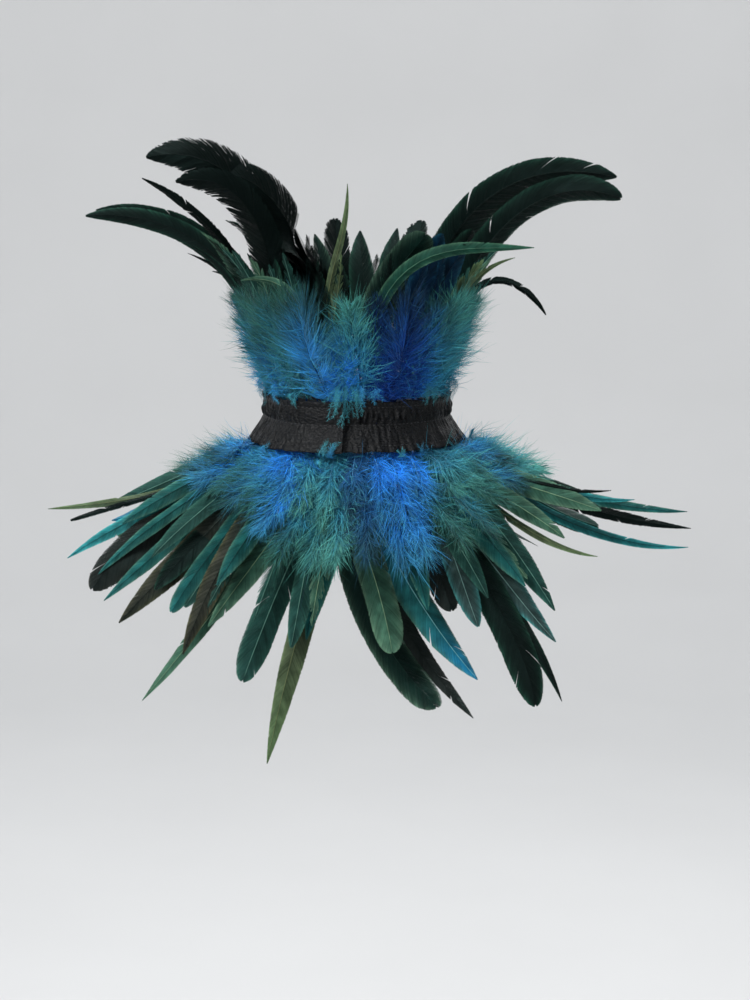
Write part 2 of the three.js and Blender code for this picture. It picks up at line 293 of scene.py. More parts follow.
# Down: near the quill, at the sides and towards the tip
DOWN_TONES = {
    "blue": ((36, 142, 240), (46, 138, 222), (50, 128, 158)),
    "blue_teal": ((56, 156, 226), (60, 140, 156), (26, 72, 66)),
    "deep_blue": ((5, 60, 146), (22, 98, 178), (12, 50, 72)),
    "ink": ((24, 88, 146), (30, 94, 136), (34, 84, 98)),
    "turquoise": ((48, 140, 172), (76, 164, 168), (72, 142, 130)),
    "teal": ((40, 130, 168), (56, 132, 132), (38, 90, 76)),
    "green": ((46, 122, 130), (58, 122, 112), (46, 94, 78)),
}
RAGGED = {"black": 0.14, "green_black": 0.05, "grey_black": 0.05}
RAGGED_ELSE = 0.04
# Wide splits in the plume of the ruff with this root: side of the shaft and place along the vane
SPLIT_ROOT = 138
SPLITS = ((-1, 0.52), (-1, 0.92))
SPLIT_GAP = 1.3
SPLIT_REACH = 8

# Tips of the vanes: where along it the outline starts to fall in, and two powers that shape the fall
TIP_FALL = {
    "round": (0.78, 2.0, 0.5),
    "blade": (0.62, 2.4, 0.75),
    "point": (0.48, 2.1, 0.92),
    "wisp": (0.3, 1.7, 0.9),
}

# Plumes on the places of those of the solids, a few narrower, wider or looser, with a tone each
PLUME_COLUMNS = ("root", "tip", "reach", "height", "rise", "arrive", "width", "roll", "shape", "tone")
RUFF_PLUMES = [
    (-138, -98, 142, 170, 0.55, -14, 30, -75, "blade", "black"),
    (-152, -104, 108, 160, 0.46, -8, 28, -75, "blade", "black"),
    (-120, -98, 122, 154, 0.5, -14, 24, -75, "blade", "black"),
    (-106, -92, 180, 132, 0.5, -6, 14, 70, "blade", "green_black"),
    (-118, -97, 176, 135, 0.55, -4, 12, -60, "blade", "green_black"),
    (-116, -94, 143, 157, 0.45, 26, 7, -60, "blade", "black"),
    (-80, -88, 112, 115, 0.45, 28, 5, 50, "point", "green_black"),
    (-26, -51, 95, 94, 0.7, -8, 6, 30, "point", "green"),
    (-62, -66, 88, 112, 0.45, 55, 16, 40, "wisp", "dark_green"),
    (-42, -46, 78, 104, 0.45, 65, 16, 25, "wisp", "dark_green"),
    (-22, -5, 62, 156, 0.6, 78, 5, 20, "point", "olive"),
    (138, 96, 174, 157, 0.58, -14, 25, 75, "blade", "green_black"),
    (112, 94, 176, 143, 0.55, -24, 19, 75, "round", "green_black"),
    (6, 62, 129, 115, 0.8, 3, 9, -40, "point", "leaf"),
    (9, 50, 92, 117, 0.6, 8, 9, -40, "point", "moss"),
    (4, 36, 76, 124, 0.6, 40, 22, -15, "round", "moss"),
    (50, 58, 84, 116, 0.45, 50, 18, -40, "point", "deep_blue"),
    (66, 70, 88, 106, 0.45, 50, 16, -50, "wisp", "olive"),
    (80, 73, 108, 107, 0.6, 14, 4, -60, "point", "olive"),
    (92, 92, 126, 66, 1.2, -60, 5, -80, "blade", "black"),
]
CAPE_PLUMES = [
    (-86, -83, 206, -59, 0.24, -4, 6, 0, "point", "olive"),
    (-81, -79, 192, -65, 0.24, -18, 4, 0, "round", "black"),
    (-76, -77, 195, -89, 0.16, -34, 11, 20, "point", "bright_teal"),
    (-71, -71, 182, -107, 0.16, -60, 23, 0, "round", "grey_black"),
    (-66, -71, 178, -97, 0.16, -45, 9, 0, "point", "teal"),
    (-61, -68, 177, -113, 0.16, -40, 12, 20, "point", "teal"),
    (-54, -64, 171, -126, 0.16, -45, 19, 0, "point", "brown"),
    (-47, -55, 145, -117, 0.15, -55, 13, 0, "round", "teal"),
    (-40, -50, 145, -143, 0.15, -66, 16, 0, "point", "brown"),
    (-26, -56, 166, -173, 0.16, -42, 12, 30, "point", "green"),
    (-18, -46, 132, -125, 0.2, -44, 16, 0, "point", "green"),
    (-12, -34, 129, -157, 0.2, -56, 20, 0, "round", "dark_green"),
    (-5, -24, 138, -206, 0.2, -64, 16, 10, "point", "olive"),
    (-4, -17, 108, -131, 0.2, -64, 14, 0, "point", "teal"),
    (-8, 12, 111, -138, 0.36, -50, 20, 0, "round", "green"),
    (-7, 24, 126, -172, 0.6, -14, 22, 0, "round", "moss"),
    (4, 33, 137, -179, 0.56, -24, 13, 0, "point", "grey_black"),
    (4, 36, 132, -156, 0.46, -28, 20, 0, "point", "blue_teal"),
    (24, 33, 112, -114, 0.2, -60, 18, 0, "round", "grey_black"),
    (32, 49, 152, -175, 0.2, -78, 22, 0, "round", "green_black"),
    (38, 54, 163, -173, 0.15, -66, 10, 20, "point", "green_black"),
    (34, 56, 155, -136, 0.2, -40, 18, 0, "point", "slate"),
    (49, 58, 151, -117, 0.15, -54, 16, 0, "point", "dark_green"),
    (56, 68, 169, -84, 0.16, -2, 5, 0, "point", "olive"),
    (63, 74, 173, -43, 0.22, 10, 4, 0, "point", "black"),
    (68, 72, 168, -56, 0.28, -18, 16, 0, "point", "green"),
    (73, 77, 187, -50, 0.16, 8, 6, 0, "point", "bright_teal"),
    (77, 87, 222, -87, 0.14, 4, 7, 20, "point", "bright_teal"),
    (82, 87, 221, -63, 0.14, 0, 8, 20, "point", "teal"),
    (87, 88, 224, -75, 0.14, -5, 9, 20, "point", "black"),
]
# Short plumes that fill in between and under the long ones
RUFF_FILL = [
    (-34, -38, 76, 112, 0.5, 66, 14, 10, "wisp", "dark_green"),
    (-14, -9, 62, 112, 0.5, 80, 8, 15, "wisp", "olive"),
    (-18, -22, 66, 106, 0.5, 75, 13, 20, "wisp", "green_black"),
    (-50, -57, 82, 108, 0.45, 52, 14, 30, "wisp", "green"),
    (-74, -77, 90, 112, 0.45, 46, 13, 45, "wisp", "dark_green"),
    (-86, -88, 98, 118, 0.45, 40, 13, 50, "wisp", "green_black"),
    (-96, -94, 104, 122, 0.45, 36, 14, 50, "wisp", "green"),
    (-164, -128, 88, 130, 0.45, 40, 30, -80, "blade", "black"),
    (-170, -150, 70, 116, 0.45, 60, 22, -60, "wisp", "black"),
    (-172, -140, 66, 122, 0.6, 60, 26, -80, "blade", "black"),
    (-128, -112, 96, 128, 0.5, 20, 16, -60, "wisp", "green_black"),
    (-84, -90, 112, 108, 0.4, 20, 4, 50, "point", "black"),
    (-86, -90, 96, 96, 0.4, 10, 5, 40, "point", "green_black"),
    (18, 20, 66, 112, 0.5, 72, 14, -10, "wisp", "green_black"),
    (32, 38, 76, 112, 0.5, 60, 15, -20, "wisp", "deep_blue"),
    (44, 48, 78, 112, 0.5, 58, 15, -30, "wisp", "deep_blue"),
    (40, 45, 78, 124, 0.5, 60, 17, -25, "blade", "deep_blue"),
    (58, 62, 80, 116, 0.5, 58, 13, -40, "wisp", "olive"),
    (78, 79, 90, 106, 0.45, 48, 13, -45, "wisp", "green"),
    (98, 95, 98, 114, 0.45, 44, 14, -50, "wisp", "dark_green"),
]
CAPE_FILL = [
    (-92, -92, 168, -62, 0.2, -20, 13, 0, "point", "dark_green"),
    (-70, -74, 160, -66, 0.18, -34, 12, 0, "point", "teal"),
    (-58, -62, 150, -84, 0.18, -44, 13, 0, "point", "dark_green"),
    (-34, -44, 128, -98, 0.2, -50, 14, 0, "point", "teal"),
    (-42, -53, 138, -114, 0.16, -52, 15, 0, "blade", "dark_green"),
    (-50, -60, 150, -104, 0.16, -48, 15, 0, "blade", "green_black"),
    (-24, -31, 126, -118, 0.2, -55, 17, 0, "wisp", "dark_green"),
    (20, 24, 112, -112, 0.2, -58, 14, 0, "point", "teal"),
    (28, 42, 126, -106, 0.2, -52, 14, 0, "point", "dark_green"),
    (34, 39, 124, -124, 0.2, -58, 17, 0, "blade", "slate"),
    (-14, -20, 120, -134, 0.2, -60, 14, 0, "blade", "dark_green"),
    (-9, -14, 116, -120, 0.2, -60, 16, 0, "wisp", "green"),
    (-38, -46, 132, -112, 0.18, -52, 15, 0, "wisp", "dark_green"),
    (48, 54, 136, -96, 0.18, -46, 16, 0, "wisp", "green"),
    (44, 52, 138, -100, 0.18, -48, 14, 0, "point", "teal"),
    (60, 64, 150, -72, 0.2, -36, 13, 0, "point", "green"),
    (76, 80, 164, -58, 0.22, -20, 13, 0, "point", "dark_green"),
    (92, 94, 172, -62, 0.2, -16, 13, 0, "point", "green_black"),
]

# Rows of feathers that repeat round the back and under the plumes
RUFF_BACK = {"first": 106, "last": 247, "count": 11, "reach": 82, "rise": 0.42, "width": 18}
RUFF_BACK_LOW = {"first": 112, "last": 248, "count": 10, "reach": 78, "rise": 0.42, "width": 15,
                 "shape": "wisp"}
CAPE_BACK = {"first": 98, "last": 268, "count": 13, "reach": 168, "rise": 0.16, "width": 17}
CAPE_BACK_LOW = {"first": 104, "last": 262, "count": 12, "reach": 142, "rise": 0.2, "width": 15}
CAPE_BACK_TONES = ("dark_green", "teal", "green_black", "slate", "blue_teal", "green", "brown")
RUFF_BACK_TONES = ("green_black", "black", "moss", "black", "green_black")
RUFF_BACK_END = (122, 58)  # height of the tips and elevation there
RUFF_BACK_LOW_END = (104, 62)
RUFF_DOWN_END = (90, 72)
RUFF_DOWN_RISE = 0.36
CAPE_DOWN_RISE = 0.3
DOWN_FALL = (-95, -45, -80)  # front, side, back
DOWN_ARRIVE = (-62, -14, -55)
BACK_FALL = 1.75
BACK_LOW_FALL = 1.4
SWING_STEP = 2.4
SWING_REACH = 9
SWING_HEIGHT = 5
SWING_AZIMUTH = 2.5

# Down feathers: root and tip azimuths, reach, height, length of the longest barbs and tone
RUFF_DOWN = [
    (-18, -27, 76, 90, 31, "blue_teal"),
    (26, 27, 75, 86, 28, "deep_blue"),
    (4, -3, 70, 82, 22, "turquoise"),
    (13, 12, 66, 84, 16, "deep_blue"),
    (-8, -9, 66, 62, 17, "blue"),
    (20, 21, 66, 60, 17, "deep_blue"),
    (33, 35, 68, 60, 17, "deep_blue"),
    (-54, -56, 72, 62, 16, "blue_teal"),
    (-34, -40, 74, 88, 22, "green"),
    (-47, -52, 79, 90, 22, "teal"),
    (-60, -62, 80, 92, 20, "green"),
    (-73, -75, 80, 88, 19, "teal"),
    (-86, -87, 80, 82, 18, "blue_teal"),
    (-99, -99, 82, 88, 18, "teal"),
    (39, 42, 76, 82, 21, "blue_teal"),
    (51, 54, 80, 86, 22, "turquoise"),
    (63, 66, 80, 90, 21, "turquoise"),
    (76, 77, 80, 84, 19, "turquoise"),
    (89, 90, 79, 80, 18, "turquoise"),
    (102, 102, 82, 86, 18, "teal"),
]
CAPE_DOWN = [
    (-4, -7, 112, -92, 22, "turquoise"),
    (-10, -18, 118, -116, 22, "turquoise"),
    (6, 4, 110, -84, 22, "ink"),
    (15, 18, 116, -106, 26, "blue"),
    (25, 25, 112, -84, 22, "blue"),
    (-20, -27, 112, -84, 23, "teal"),
    (-29, -36, 106, -66, 21, "blue"),
    (-38, -43, 104, -54, 20, "teal"),
    (-46, -52, 107, -52, 19, "blue_teal"),
    (-55, -60, 108, -45, 19, "teal"),
    (-65, -69, 112, -40, 19, "blue"),
    (-75, -78, 116, -36, 19, "blue_teal"),
    (-85, -87, 120, -36, 19, "green"),
    (-95, -96, 122, -42, 19, "teal"),
    (35, 38, 122, -80, 23, "green"),
    (44, 47, 120, -68, 22, "teal"),
    (54, 57, 116, -52, 20, "green"),
    (64, 68, 118, -42, 20, "blue_teal"),
    (74, 77, 124, -37, 20, "turquoise"),
    (84, 86, 124, -36, 20, "turquoise"),
    (94, 95, 124, -42, 20, "teal"),
]
# Shorter tufts that lie on top, close under the band
CAPE_TUFTS = [
    (-92, -95, 100, -29, 17, "teal"),
    (-80, -80, 102, -26, 17, "blue_teal"),
    (-70, -72, 100, -28, 17, "blue_teal"),
    (-58, -56, 95, -40, 16, "teal"),
    (-43, -46, 93, -42, 16, "blue"),
    (-33, -32, 90, -46, 16, "blue"),
    (-24, -23, 92, -54, 17, "turquoise"),
    (-13, -14, 92, -60, 18, "turquoise"),
    (0, -1, 92, -58, 17, "ink"),
    (10, 11, 92, -58, 17, "blue"),
    (20, 22, 94, -60, 18, "blue"),
    (31, 30, 92, -50, 17, "blue"),
    (40, 43, 94, -46, 17, "turquoise"),
    (50, 50, 94, -42, 17, "turquoise"),
    (60, 62, 98, -36, 17, "turquoise"),
    (71, 72, 102, -27, 17, "blue_teal"),
    (81, 82, 104, -26, 17, "turquoise"),
    (91, 93, 102, -29, 17, "turquoise"),
]
TUFT_RISE = 0.3
TUFT_SINK = -5
# Frizzy strands over the band, from the ruff down and from the cape up: azimuths and heights of both
# ends, tone and number of strands
RUFF_STRANDS = [
    (-9, -12, 28, 5, "turquoise", 9),
    (-5, -7, 30, 0, "turquoise", 9),
    (-2, -1, 28, 6, "turquoise", 8),
    (2, 3, 28, 12, "blue_teal", 6),
    (12, 10, 26, 14, "blue_teal", 5),
    (44, 45, 28, 12, "turquoise", 8),
    (51, 53, 28, 10, "turquoise", 8),
    (57, 59, 24, 13, "teal", 5),
    (-34, -36, 23, 12, "turquoise", 4),
    (-52, -54, 22, 13, "blue_teal", 4),
    (-66, -68, 26, 9, "teal", 7),
    (-76, -77, 26, 8, "teal", 8),
    (-86, -86, 26, 8, "blue_teal", 8),
    (-96, -95, 26, 9, "teal", 7),
    (68, 69, 26, 9, "teal", 7),
    (78, 78, 26, 8, "turquoise", 8),
    (87, 87, 26, 8, "turquoise", 8),
    (97, 96, 26, 9, "teal", 7),
]
CAPE_STRANDS = [
    (-15, -14, -19, -4, "turquoise", 6),
    (-12, -11, -19, -7, "blue_teal", 5),
    (22, 24, -19, -12, "turquoise", 4),
    (34, 37, -19, -11, "blue_teal", 4),
    (57, 60, -19, -9, "teal", 4),
    (-53, -51, -19, -11, "blue_teal", 4),
]
STRAND_BARBULES = 34
STRAND_TAPER = (0.8, 1, 1, 1, 0.9, 0.8, 0.6, 0.2)
STRAND_HALF = 0.12
STRAND_HEIGHTS = (0.5, 1)  # share of the way to the other end
STRAND_SCATTER = (1.2, 2.4)  # degrees, at both ends
STRAND_WAVE = (0.3, 1.0)
STRAND_TURNS = (4, 9)
STRAND_SINK = 0.8
STRAND_ROOT_SINK = 5
STRAND_ROOT_RUN = 0.18
STRAND_PUFF = (0.6, 3.4)
STRAND_SHADE = (0.7, 1.1)
BARBULE_TAPER = (1, 0.9, 0.2)
BARBULE_HALF = 0.06
BARBULE_LENGTH = (1.4, 4.2)
BARBULE_LIFT = (0.1, 0.3)  # mean and spread
BARBULE_SHADE = (0.95, 0.2)
RUFF_DOWN_BACK = {"first": 114, "last": 248, "count": 11, "reach": 79, "spread": 19}
CAPE_DOWN_BACK = {"first": 104, "last": 256, "count": 16, "reach": 122, "spread": 21}
DOWN_BACK_TONES = ("blue_teal", "teal", "blue", "green", "turquoise", "blue", "teal")

# Materials
NOISE_ENDS = (0.3, 0.7)  # between which nearly all of a noise texture lies
MOTTLE = (0.72, 1.25)
GLOSS_SCALE = 3  # times that of the mottling
BARBULE_SCALE = 2600.0
BARBULE_DEPTH = 0.00012  # metres
WEAVE_SHADE = (0.7, 1.35)
SLUB_SHADE = (0.8, 1.25)
SLUB_SCALE = 0.35
WEAVE_DEPTH = 0.0002
CRUMPLE_SCALE = 0.5
CRUMPLE_DEPTH = 0.0014

# Stage, light and camera, in metres and watts
FLOOR_HEIGHT = -0.9
FLOOR_SIDES = 96
FLOOR_PROFILE = [(0.0, 0.0), (3.0, 0.0), (3.6, 0.1), (4.1, 0.45), (4.4, 1.1), (4.5, 2.2), (4.5, 3.4)]
FLOOR_SHADE = (0.6, 0.64)
# Name, place, aim, size and power
LIGHTS = [
    ("key", (-1.25, -1.15, 1.5), (0, 0, 0), 0.7, 42),
    ("fill", (1.3, -1.4, 0.5), (0, 0, 0), 1.2, 2),
    ("top", (0.1, 0.2, 1.8), (0, 0, 0), 0.9, 24),
    ("behind", (0.4, 1.7, 0.9), (0, 0, 0), 1.2, 8),
    ("wall", (0, 1.6, 3.2), (0, 4.4, 0.4), 2.5, 80),
]
SKY_COLOUR = (0.9, 0.95, 1.0, 1)
SKY_STRENGTH = 0.5
CAMERA_LENS = 91.34
CAMERA_PLACE = (0.01206, -1.67907, 0.20894)
CAMERA_AIM = (0.01206, 0, -0.057)


# Small helpers

def unit(v):
    return v / np.maximum(np.linalg.norm(v, axis=-1, keepdims=True), 1e-9)


def smoothstep(x, low, high):
    t = np.clip((x - low) / (high - low), 0, 1)
    return t * t * (3 - 2 * t)


def blend(a, b, share):
    return a + (b - a) * share


def outwards(azimuth):
    a = np.radians(np.asarray(azimuth, float))
    return np.stack([np.sin(a), -np.cos(a), np.zeros_like(a)], -1)


def ring_point(azimuth, radius, height):
    values = (np.asarray(v, float) for v in (azimuth, radius, height))
    azimuth, radius, height = np.broadcast_arrays(*values)
    point = outwards(azimuth) * radius[..., None]
    point[..., 2] = height
    return point


def aimed(azimuth, elevation):
    e = np.radians(elevation)
    return outwards(azimuth) * np.cos(e) + np.array([0, 0, np.sin(e)])


def round_neck(azimuth, ends):
    front, side, back = ends
    c = np.cos(np.radians(azimuth))
    return blend(side, front if c > 0 else back, c * c)


def at_places(places, stations, values):
    return np.stack([np.interp(places, stations, column) for column in values.T], -1)


def colour(levels):
    c = np.asarray(levels) / 255
    return np.where(c <= 0.04045, c / 12.92, ((c + 0.055) / 1.055) ** 2.4)


# Mesh collecting: grids of points, shaped (count, rows, columns, 3), become one mesh

class Grids:
    def __init__(self):
        self.points, self.faces, self.tints, self.maps, self.lanes = [], [], [], [], []
        self.size = 0

    def add(self, points, tint, place, lane=0.0, wrap=False):
        shape = points.shape[:3]
        index = self.size + np.arange(np.prod(shape)).reshape(shape)
        left = index if wrap else index[:, :, :-1]
        right = np.roll(index, -1, axis=2) if wrap else index[:, :, 1:]
        quads = np.stack([left[:, :-1], right[:, :-1], right[:, 1:], left[:, 1:]], -1)
        self.faces.append(quads.reshape(-1, 4))
        self.points.append(points.reshape(-1, 3))
        self.tints.append(np.broadcast_to(tint, shape + (3,)).reshape(-1, 3))
        self.maps.append(np.broadcast_to(place, shape + (2,)).reshape(-1, 2))
        self.lanes.append(np.broadcast_to(lane, shape).reshape(-1))
        self.size += index.size

    def build(self, name, material):
        points = np.concatenate(self.points) * MM
        faces = np.concatenate(self.faces)
        tints = np.concatenate(self.tints)
        mesh = bpy.data.meshes.new(name)
        mesh.vertices.add(len(points))
        mesh.vertices.foreach_set("co", points.ravel())
        mesh.loops.add(faces.size)
        mesh.loops.foreach_set("vertex_index", faces.ravel())
        mesh.polygons.add(len(faces))
        mesh.polygons.foreach_set("loop_start", np.arange(0, faces.size, 4))
        mesh.polygons.foreach_set("use_smooth", np.ones(len(faces), bool))
        mesh.update(calc_edges=True)
        tint = mesh.attributes.new("tint", "FLOAT_COLOR", "POINT")
        tint.data.foreach_set("color", np.hstack([tints, np.ones((len(tints), 1))]).ravel())
        lane = mesh.attributes.new("lane", "FLOAT", "POINT")
        lane.data.foreach_set("value", np.concatenate(self.lanes))
        places = np.concatenate(self.maps)[faces.ravel()]
        mesh.uv_layers.new(name="OFBake").data.foreach_set("uv", places.ravel())
        mesh.validate()
        mesh.materials.append(material)
        piece = bpy.data.objects.new(name, mesh)
        bpy.context.scene.collection.objects.link(piece)
        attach(piece, "root")
        return piece


class Cells:
    """Gives each feather its own long cell of the map."""

    def __init__(self, count):
        self.columns = max(1, int(np.ceil(np.sqrt(count / 4))))
        self.rows = int(np.ceil(count / self.columns))
        self.used = 0

    def take(self):
        column, row = self.used % self.columns, self.used // self.columns
        self.used += 1
        corner = np.array([column / self.columns, row / self.rows])
        size = np.array([1 / self.columns, 1 / self.rows])
        return lambda u, v: corner + size * (0.04 + 0.92 * np.stack(np.broadcast_arrays(u, v), -1))


# Feathers

class Shaft:
    """Path of a feather's shaft, with its outer face and its side at each place along it."""

    def __init__(self, row, trim, twist=0.0, sink=0.0, bow=0.0, forward=FORWARD):
        root = ring_point(row["root"], TAPE_RADIUS, trim["root_height"])
        tip = ring_point(row["tip"], row["reach"], row["height"])
        chord = np.linalg.norm(tip - root)
        launch = round_neck(row["root"], trim["launch"])
        leave = root + aimed(row["root"], launch) * row["rise"] * chord
        arrive = tip - aimed(row["tip"], row["arrive"]) * TIP_HANDLE * chord
        t = np.linspace(0, 1, PATH_POINTS)[:, None]
        path = (1 - t) ** 3 * root + 3 * t * (1 - t) ** 2 * leave
        path = path + 3 * t * t * (1 - t) * arrive + t ** 3 * tip
        steps = np.linalg.norm(np.diff(path, axis=0), axis=1)
        self.along = np.concatenate([[0], np.cumsum(steps)])
        self.length = self.along[-1]
        tangent = unit(np.gradient(path, axis=0))
        out = unit(path * (1, 1, 0))
        face = out + np.array([0, 0, trim["lean"]])
        face = unit(face - tangent * np.sum(face * tangent, axis=1, keepdims=True))
        turn = np.radians(row.get("roll", 0) + twist * self.along / self.length)[:, None]
        face = face * np.cos(turn) + np.cross(tangent, face) * np.sin(turn)
        turned = smoothstep(-out[:, 1:2], *trim["turn"]) * smoothstep(self.along, *TURN_ALONG)[:, None]
        face = face + np.array([0, -forward, 0]) * turned
        face = unit(face - tangent * np.sum(face * tangent, axis=1, keepdims=True))
        side = np.cross(tangent, face)
        path = path + (side * bow - face * sink) * np.sin(np.pi * t) ** 2
        self.table = np.hstack([path, tangent, face, side])

    def at(self, along):
        inside = np.clip(along, 0, self.length)
        path, tangent, face, side = np.split(at_places(inside, self.along, self.table), 4, axis=-1)
        return path + tangent * (along - inside)[..., None], tangent, face, side


def lap_lift(azimuth):
    return LAP_LIFT * smoothstep(azimuth, LAP_LIFT_FROM, LAP_LIFT_TO)


def band_reach(points):
    """Radius of the band's outer surface at the azimuth and height of each point."""
    azimuth = np.degrees(np.arctan2(points[..., 0], -points[..., 1])) % 360
    azimuth = np.where(azimuth > LAP_OVER_END, 0, azimuth)
    return np.interp(points[..., 2], BAND_HEIGHTS, BAND_RADII) + lap_lift(azimuth) + BAND_RELIEF


def keep_clear(points, above):
    """Keeps fibres off the band and out of the neck hole."""
    radius = np.linalg.norm(points[..., :2], axis=-1)
    shift = np.maximum(radius, NECK_CLEAR) / np.maximum(radius, 1e-6)
    points[..., :2] *= shift[..., None]
    at_wall = (radius > TAPE_RADIUS + TAPE_CLEAR) & (radius < band_reach(points) + BAND_CLEAR)
    height = points[..., 2]
    held = np.maximum(height, BAND_HIGH + EDGE_CLEAR) if above else np.minimum(height, BAND_LOW - EDGE_CLEAR)
    points[..., 2] = np.where(at_wall, held, height)
    return points


def outline(share, shape):
    """Half width of a vane along its length, for a half width of 1."""
    begin, power, root = TIP_FALL[shape]
    rise = blend(ROOT_WIDTH, 1, smoothstep(share, 0, ROOT_RUN))
    fall = np.clip(1 - (np.clip(share - begin, 0, 1) / (1 - begin)) ** power, 0, 1)
    return rise * fall ** root


def even_outline(span, half, shape):
    """Places along the vane whose edge points are evenly spaced on its outline."""
    share = np.linspace(0, 1, OUTLINE_SAMPLES)
    steps = np.hypot(np.diff(share) * span, np.diff(half * outline(share, shape)))
    walked = np.concatenate([[0], np.cumsum(steps)])
    return np.interp(np.linspace(0, walked[-1], int(walked[-1] / BARB_PITCH)), walked, share)


def barb_splits(row, sign, ends, start, stop, ragged):
    """How far along the shaft the end of each barb is moved, so that splits open in the vane."""
    part = np.zeros(len(ends))
    for _ in range(rng.integers(0, FEW_SPLITS) + int(ragged * RAGGED_SPLITS)):
        off = ends - rng.uniform(start, stop - TIP_MARGIN)
        gap = rng.uniform(*SMALL_GAP) * (1 + ragged * RAGGED_GAP)
        part += np.sign(off) * gap * np.exp(-np.abs(off) / rng.uniform(*SMALL_REACH))
    for side, share in SPLITS if row["root"] == SPLIT_ROOT else ():
        off = ends - (start + share * (stop - start))
        part += (side == sign) * np.sign(off) * SPLIT_GAP * np.exp(-np.abs(off) / SPLIT_REACH)
    return part


def vane_tint(row, sign, ends, where, shade):
    """From near the down to the tip, out to the edge, and in streaks from barb to barb."""
    near, middle, end_tone, edge, _ = (colour(c) for c in TONES[row["tone"]])
    count, tau = len(ends), BARB_STATIONS
    tint = blend(near, middle, smoothstep(where, *MIDDLE_RUN))
    tint = blend(tint, end_tone, smoothstep(where, *TIP_RUN))
    rim = (tau ** RIM_POWER)[:, None, None] * rng.uniform(*RIM_SHARE, count)[:, None, None, None]
    from_shaft = blend(SHAFT_SHADE, 1, smoothstep(tau, 0, SHAFT_SHADE_RUN))[:, None, None]
    # the sign gives one side of the vane painted light and the other painted shade
    tint = blend(tint, edge, rim) * shade * (1 + SIDE_PAINTED_LIGHT * sign) * from_shaft
    mean = np.ones(STREAK_BARBS) / STREAK_BARBS
    streaks = np.convolve(rng.normal(0, 1, count + STREAK_BARBS - 1), mean, "valid")
    streaks = 1 + STREAK * streaks + rng.normal(0, FINE_STREAK, count)
    if row["tone"] == BARRED:
        streaks = streaks * (1 - BAR_DEPTH * smoothstep(np.sin(ends * BAR_TURN), *BAR_ENDS))
    return tint * streaks.clip(*STREAK_ENDS)[:, None, None, None]


def add_vane(grids, shaft, row, start, place):
    """Two rows of barbs that end on the vane's outline, each a narrow ribbon on the keeled vane."""
    wispy = row["shape"] == "wisp"
    ragged = WISP_RAGGED if wispy else RAGGED.get(row["tone"], RAGGED_ELSE)
    skew = rng.uniform(-VANE_SKEW, VANE_SKEW)
    ripple = rng.uniform(0, FULL_TURN)
    shade = rng.uniform(*VANE_SHADE)
    span = shaft.length - start
    tau = BARB_STATIONS
    for sign in (-1, 1):
        half = row["width"] / 2 * (1 + sign * skew)
        share = even_outline(span, half, row["shape"])
        count = len(share)
        ends = start + share * span
        lateral = half * outline(share, row["shape"])
        angle = WISP_ANGLE if wispy else blend(*BARB_ANGLES, share ** 2)
        forward = lateral / np.tan(np.radians(angle))
        past_root = smoothstep(share, 0, LOOSE_RUN)
        loose = ragged + LOOSE_AT_ROOT * (1 - past_root)
        cut = 1 - loose * rng.random(count) ** 3
        part = barb_splits(row, sign, ends, start, shaft.length, ragged)
        swept = (ends - forward)[:, None] + forward[:, None] * tau ** BARB_SWEEP
        lines = np.stack([swept, lateral[:, None] * tau], -1)
        ahead = forward[:, None] * BARB_SWEEP * tau ** (BARB_SWEEP - 1)
        normal = unit(np.stack([-np.repeat(lateral[:, None] + 0.01, len(tau), 1), ahead], -1))
        apart = np.abs(np.sum(np.gradient(lines, axis=0) * normal, -1))
        thick = BARB_COVER * np.clip(apart, *BARB_GAPS) * VANE_TAPER
        thick = thick * blend(ROOT_THICK, 1, past_root)[:, None] * (WISP_THICK if wispy else 1)
        lines = (lines - lines[:, :1]) * cut[:, None, None] + lines[:, :1]
        lines[..., 0] += part[:, None] * tau ** 2
        edges = lines[:, :, None] + (normal * thick[..., None])[:, :, None] * np.array([1, -1])[:, None]
        along, away = edges[..., 0], edges[..., 1]
        lift = -KEEL * np.abs(away) - CUP * away ** 2
        lift = lift + RIPPLE * np.sin(along * RIPPLE_TURN + ripple + sign) * away / max(half, 1)
        lift = lift + (rng.normal(0, LOOSE_LIFT, count) * loose)[:, None, None] * away * tau[:, None]
        lift = lift + rng.normal(*BARB_TILT, count)[:, None, None] * np.array([-1, 1])
        path, _, face, side = shaft.at(along)
        points = path + side * (sign * away)[..., None] + face * lift[..., None]
        where = np.clip((along - start) / span, 0, 1)[..., None]
        tint = vane_tint(row, sign, ends, where, shade)
        across = VANE_MAP[0] + VANE_MAP[1] * sign * np.clip(away / max(half, 0.1), 0, 1)
        mapped = place(np.clip(along / shaft.length, 0, 1), across)
        lane = np.arange(count)[:, None, None] * VANE_RIDGES + np.array([0, VANE_RIDGES])
        grids.add(points, tint, mapped, lane)


def add_shaft(grids, shaft, tone, quill, thick, place):
    """The quill and shaft: a tapered rod that stands a little proud of the vane."""
    tone, quill = colour(TONES[tone][4]), colour(quill)
    share = np.linspace(0, 1, SHAFT_SECTIONS)
    along = share * shaft.length
    radius = thick * blend(1.0, SHAFT_TIP, share ** SHAFT_TAPER)
    radius[0] = radius[-1] = 0
    path, _, face, side = shaft.at(along)
    angle = np.arange(SHAFT_SIDES) / SHAFT_SIDES * 2 * np.pi
    ring = np.cos(angle)[None, :, None] * side[:, None] + np.sin(angle)[None, :, None] * face[:, None]
    points = path[:, None] + ring * radius[:, None, None] + face[:, None] * SHAFT_PROUD
    tint = blend(quill, tone, smoothstep(along, *QUILL_RUN)[:, None])
    mapped = place(share[:, None] * np.ones(SHAFT_SIDES), SHAFT_MAP)
    grids.add(points[None], tint[None, :, None, :], mapped[None], wrap=True)


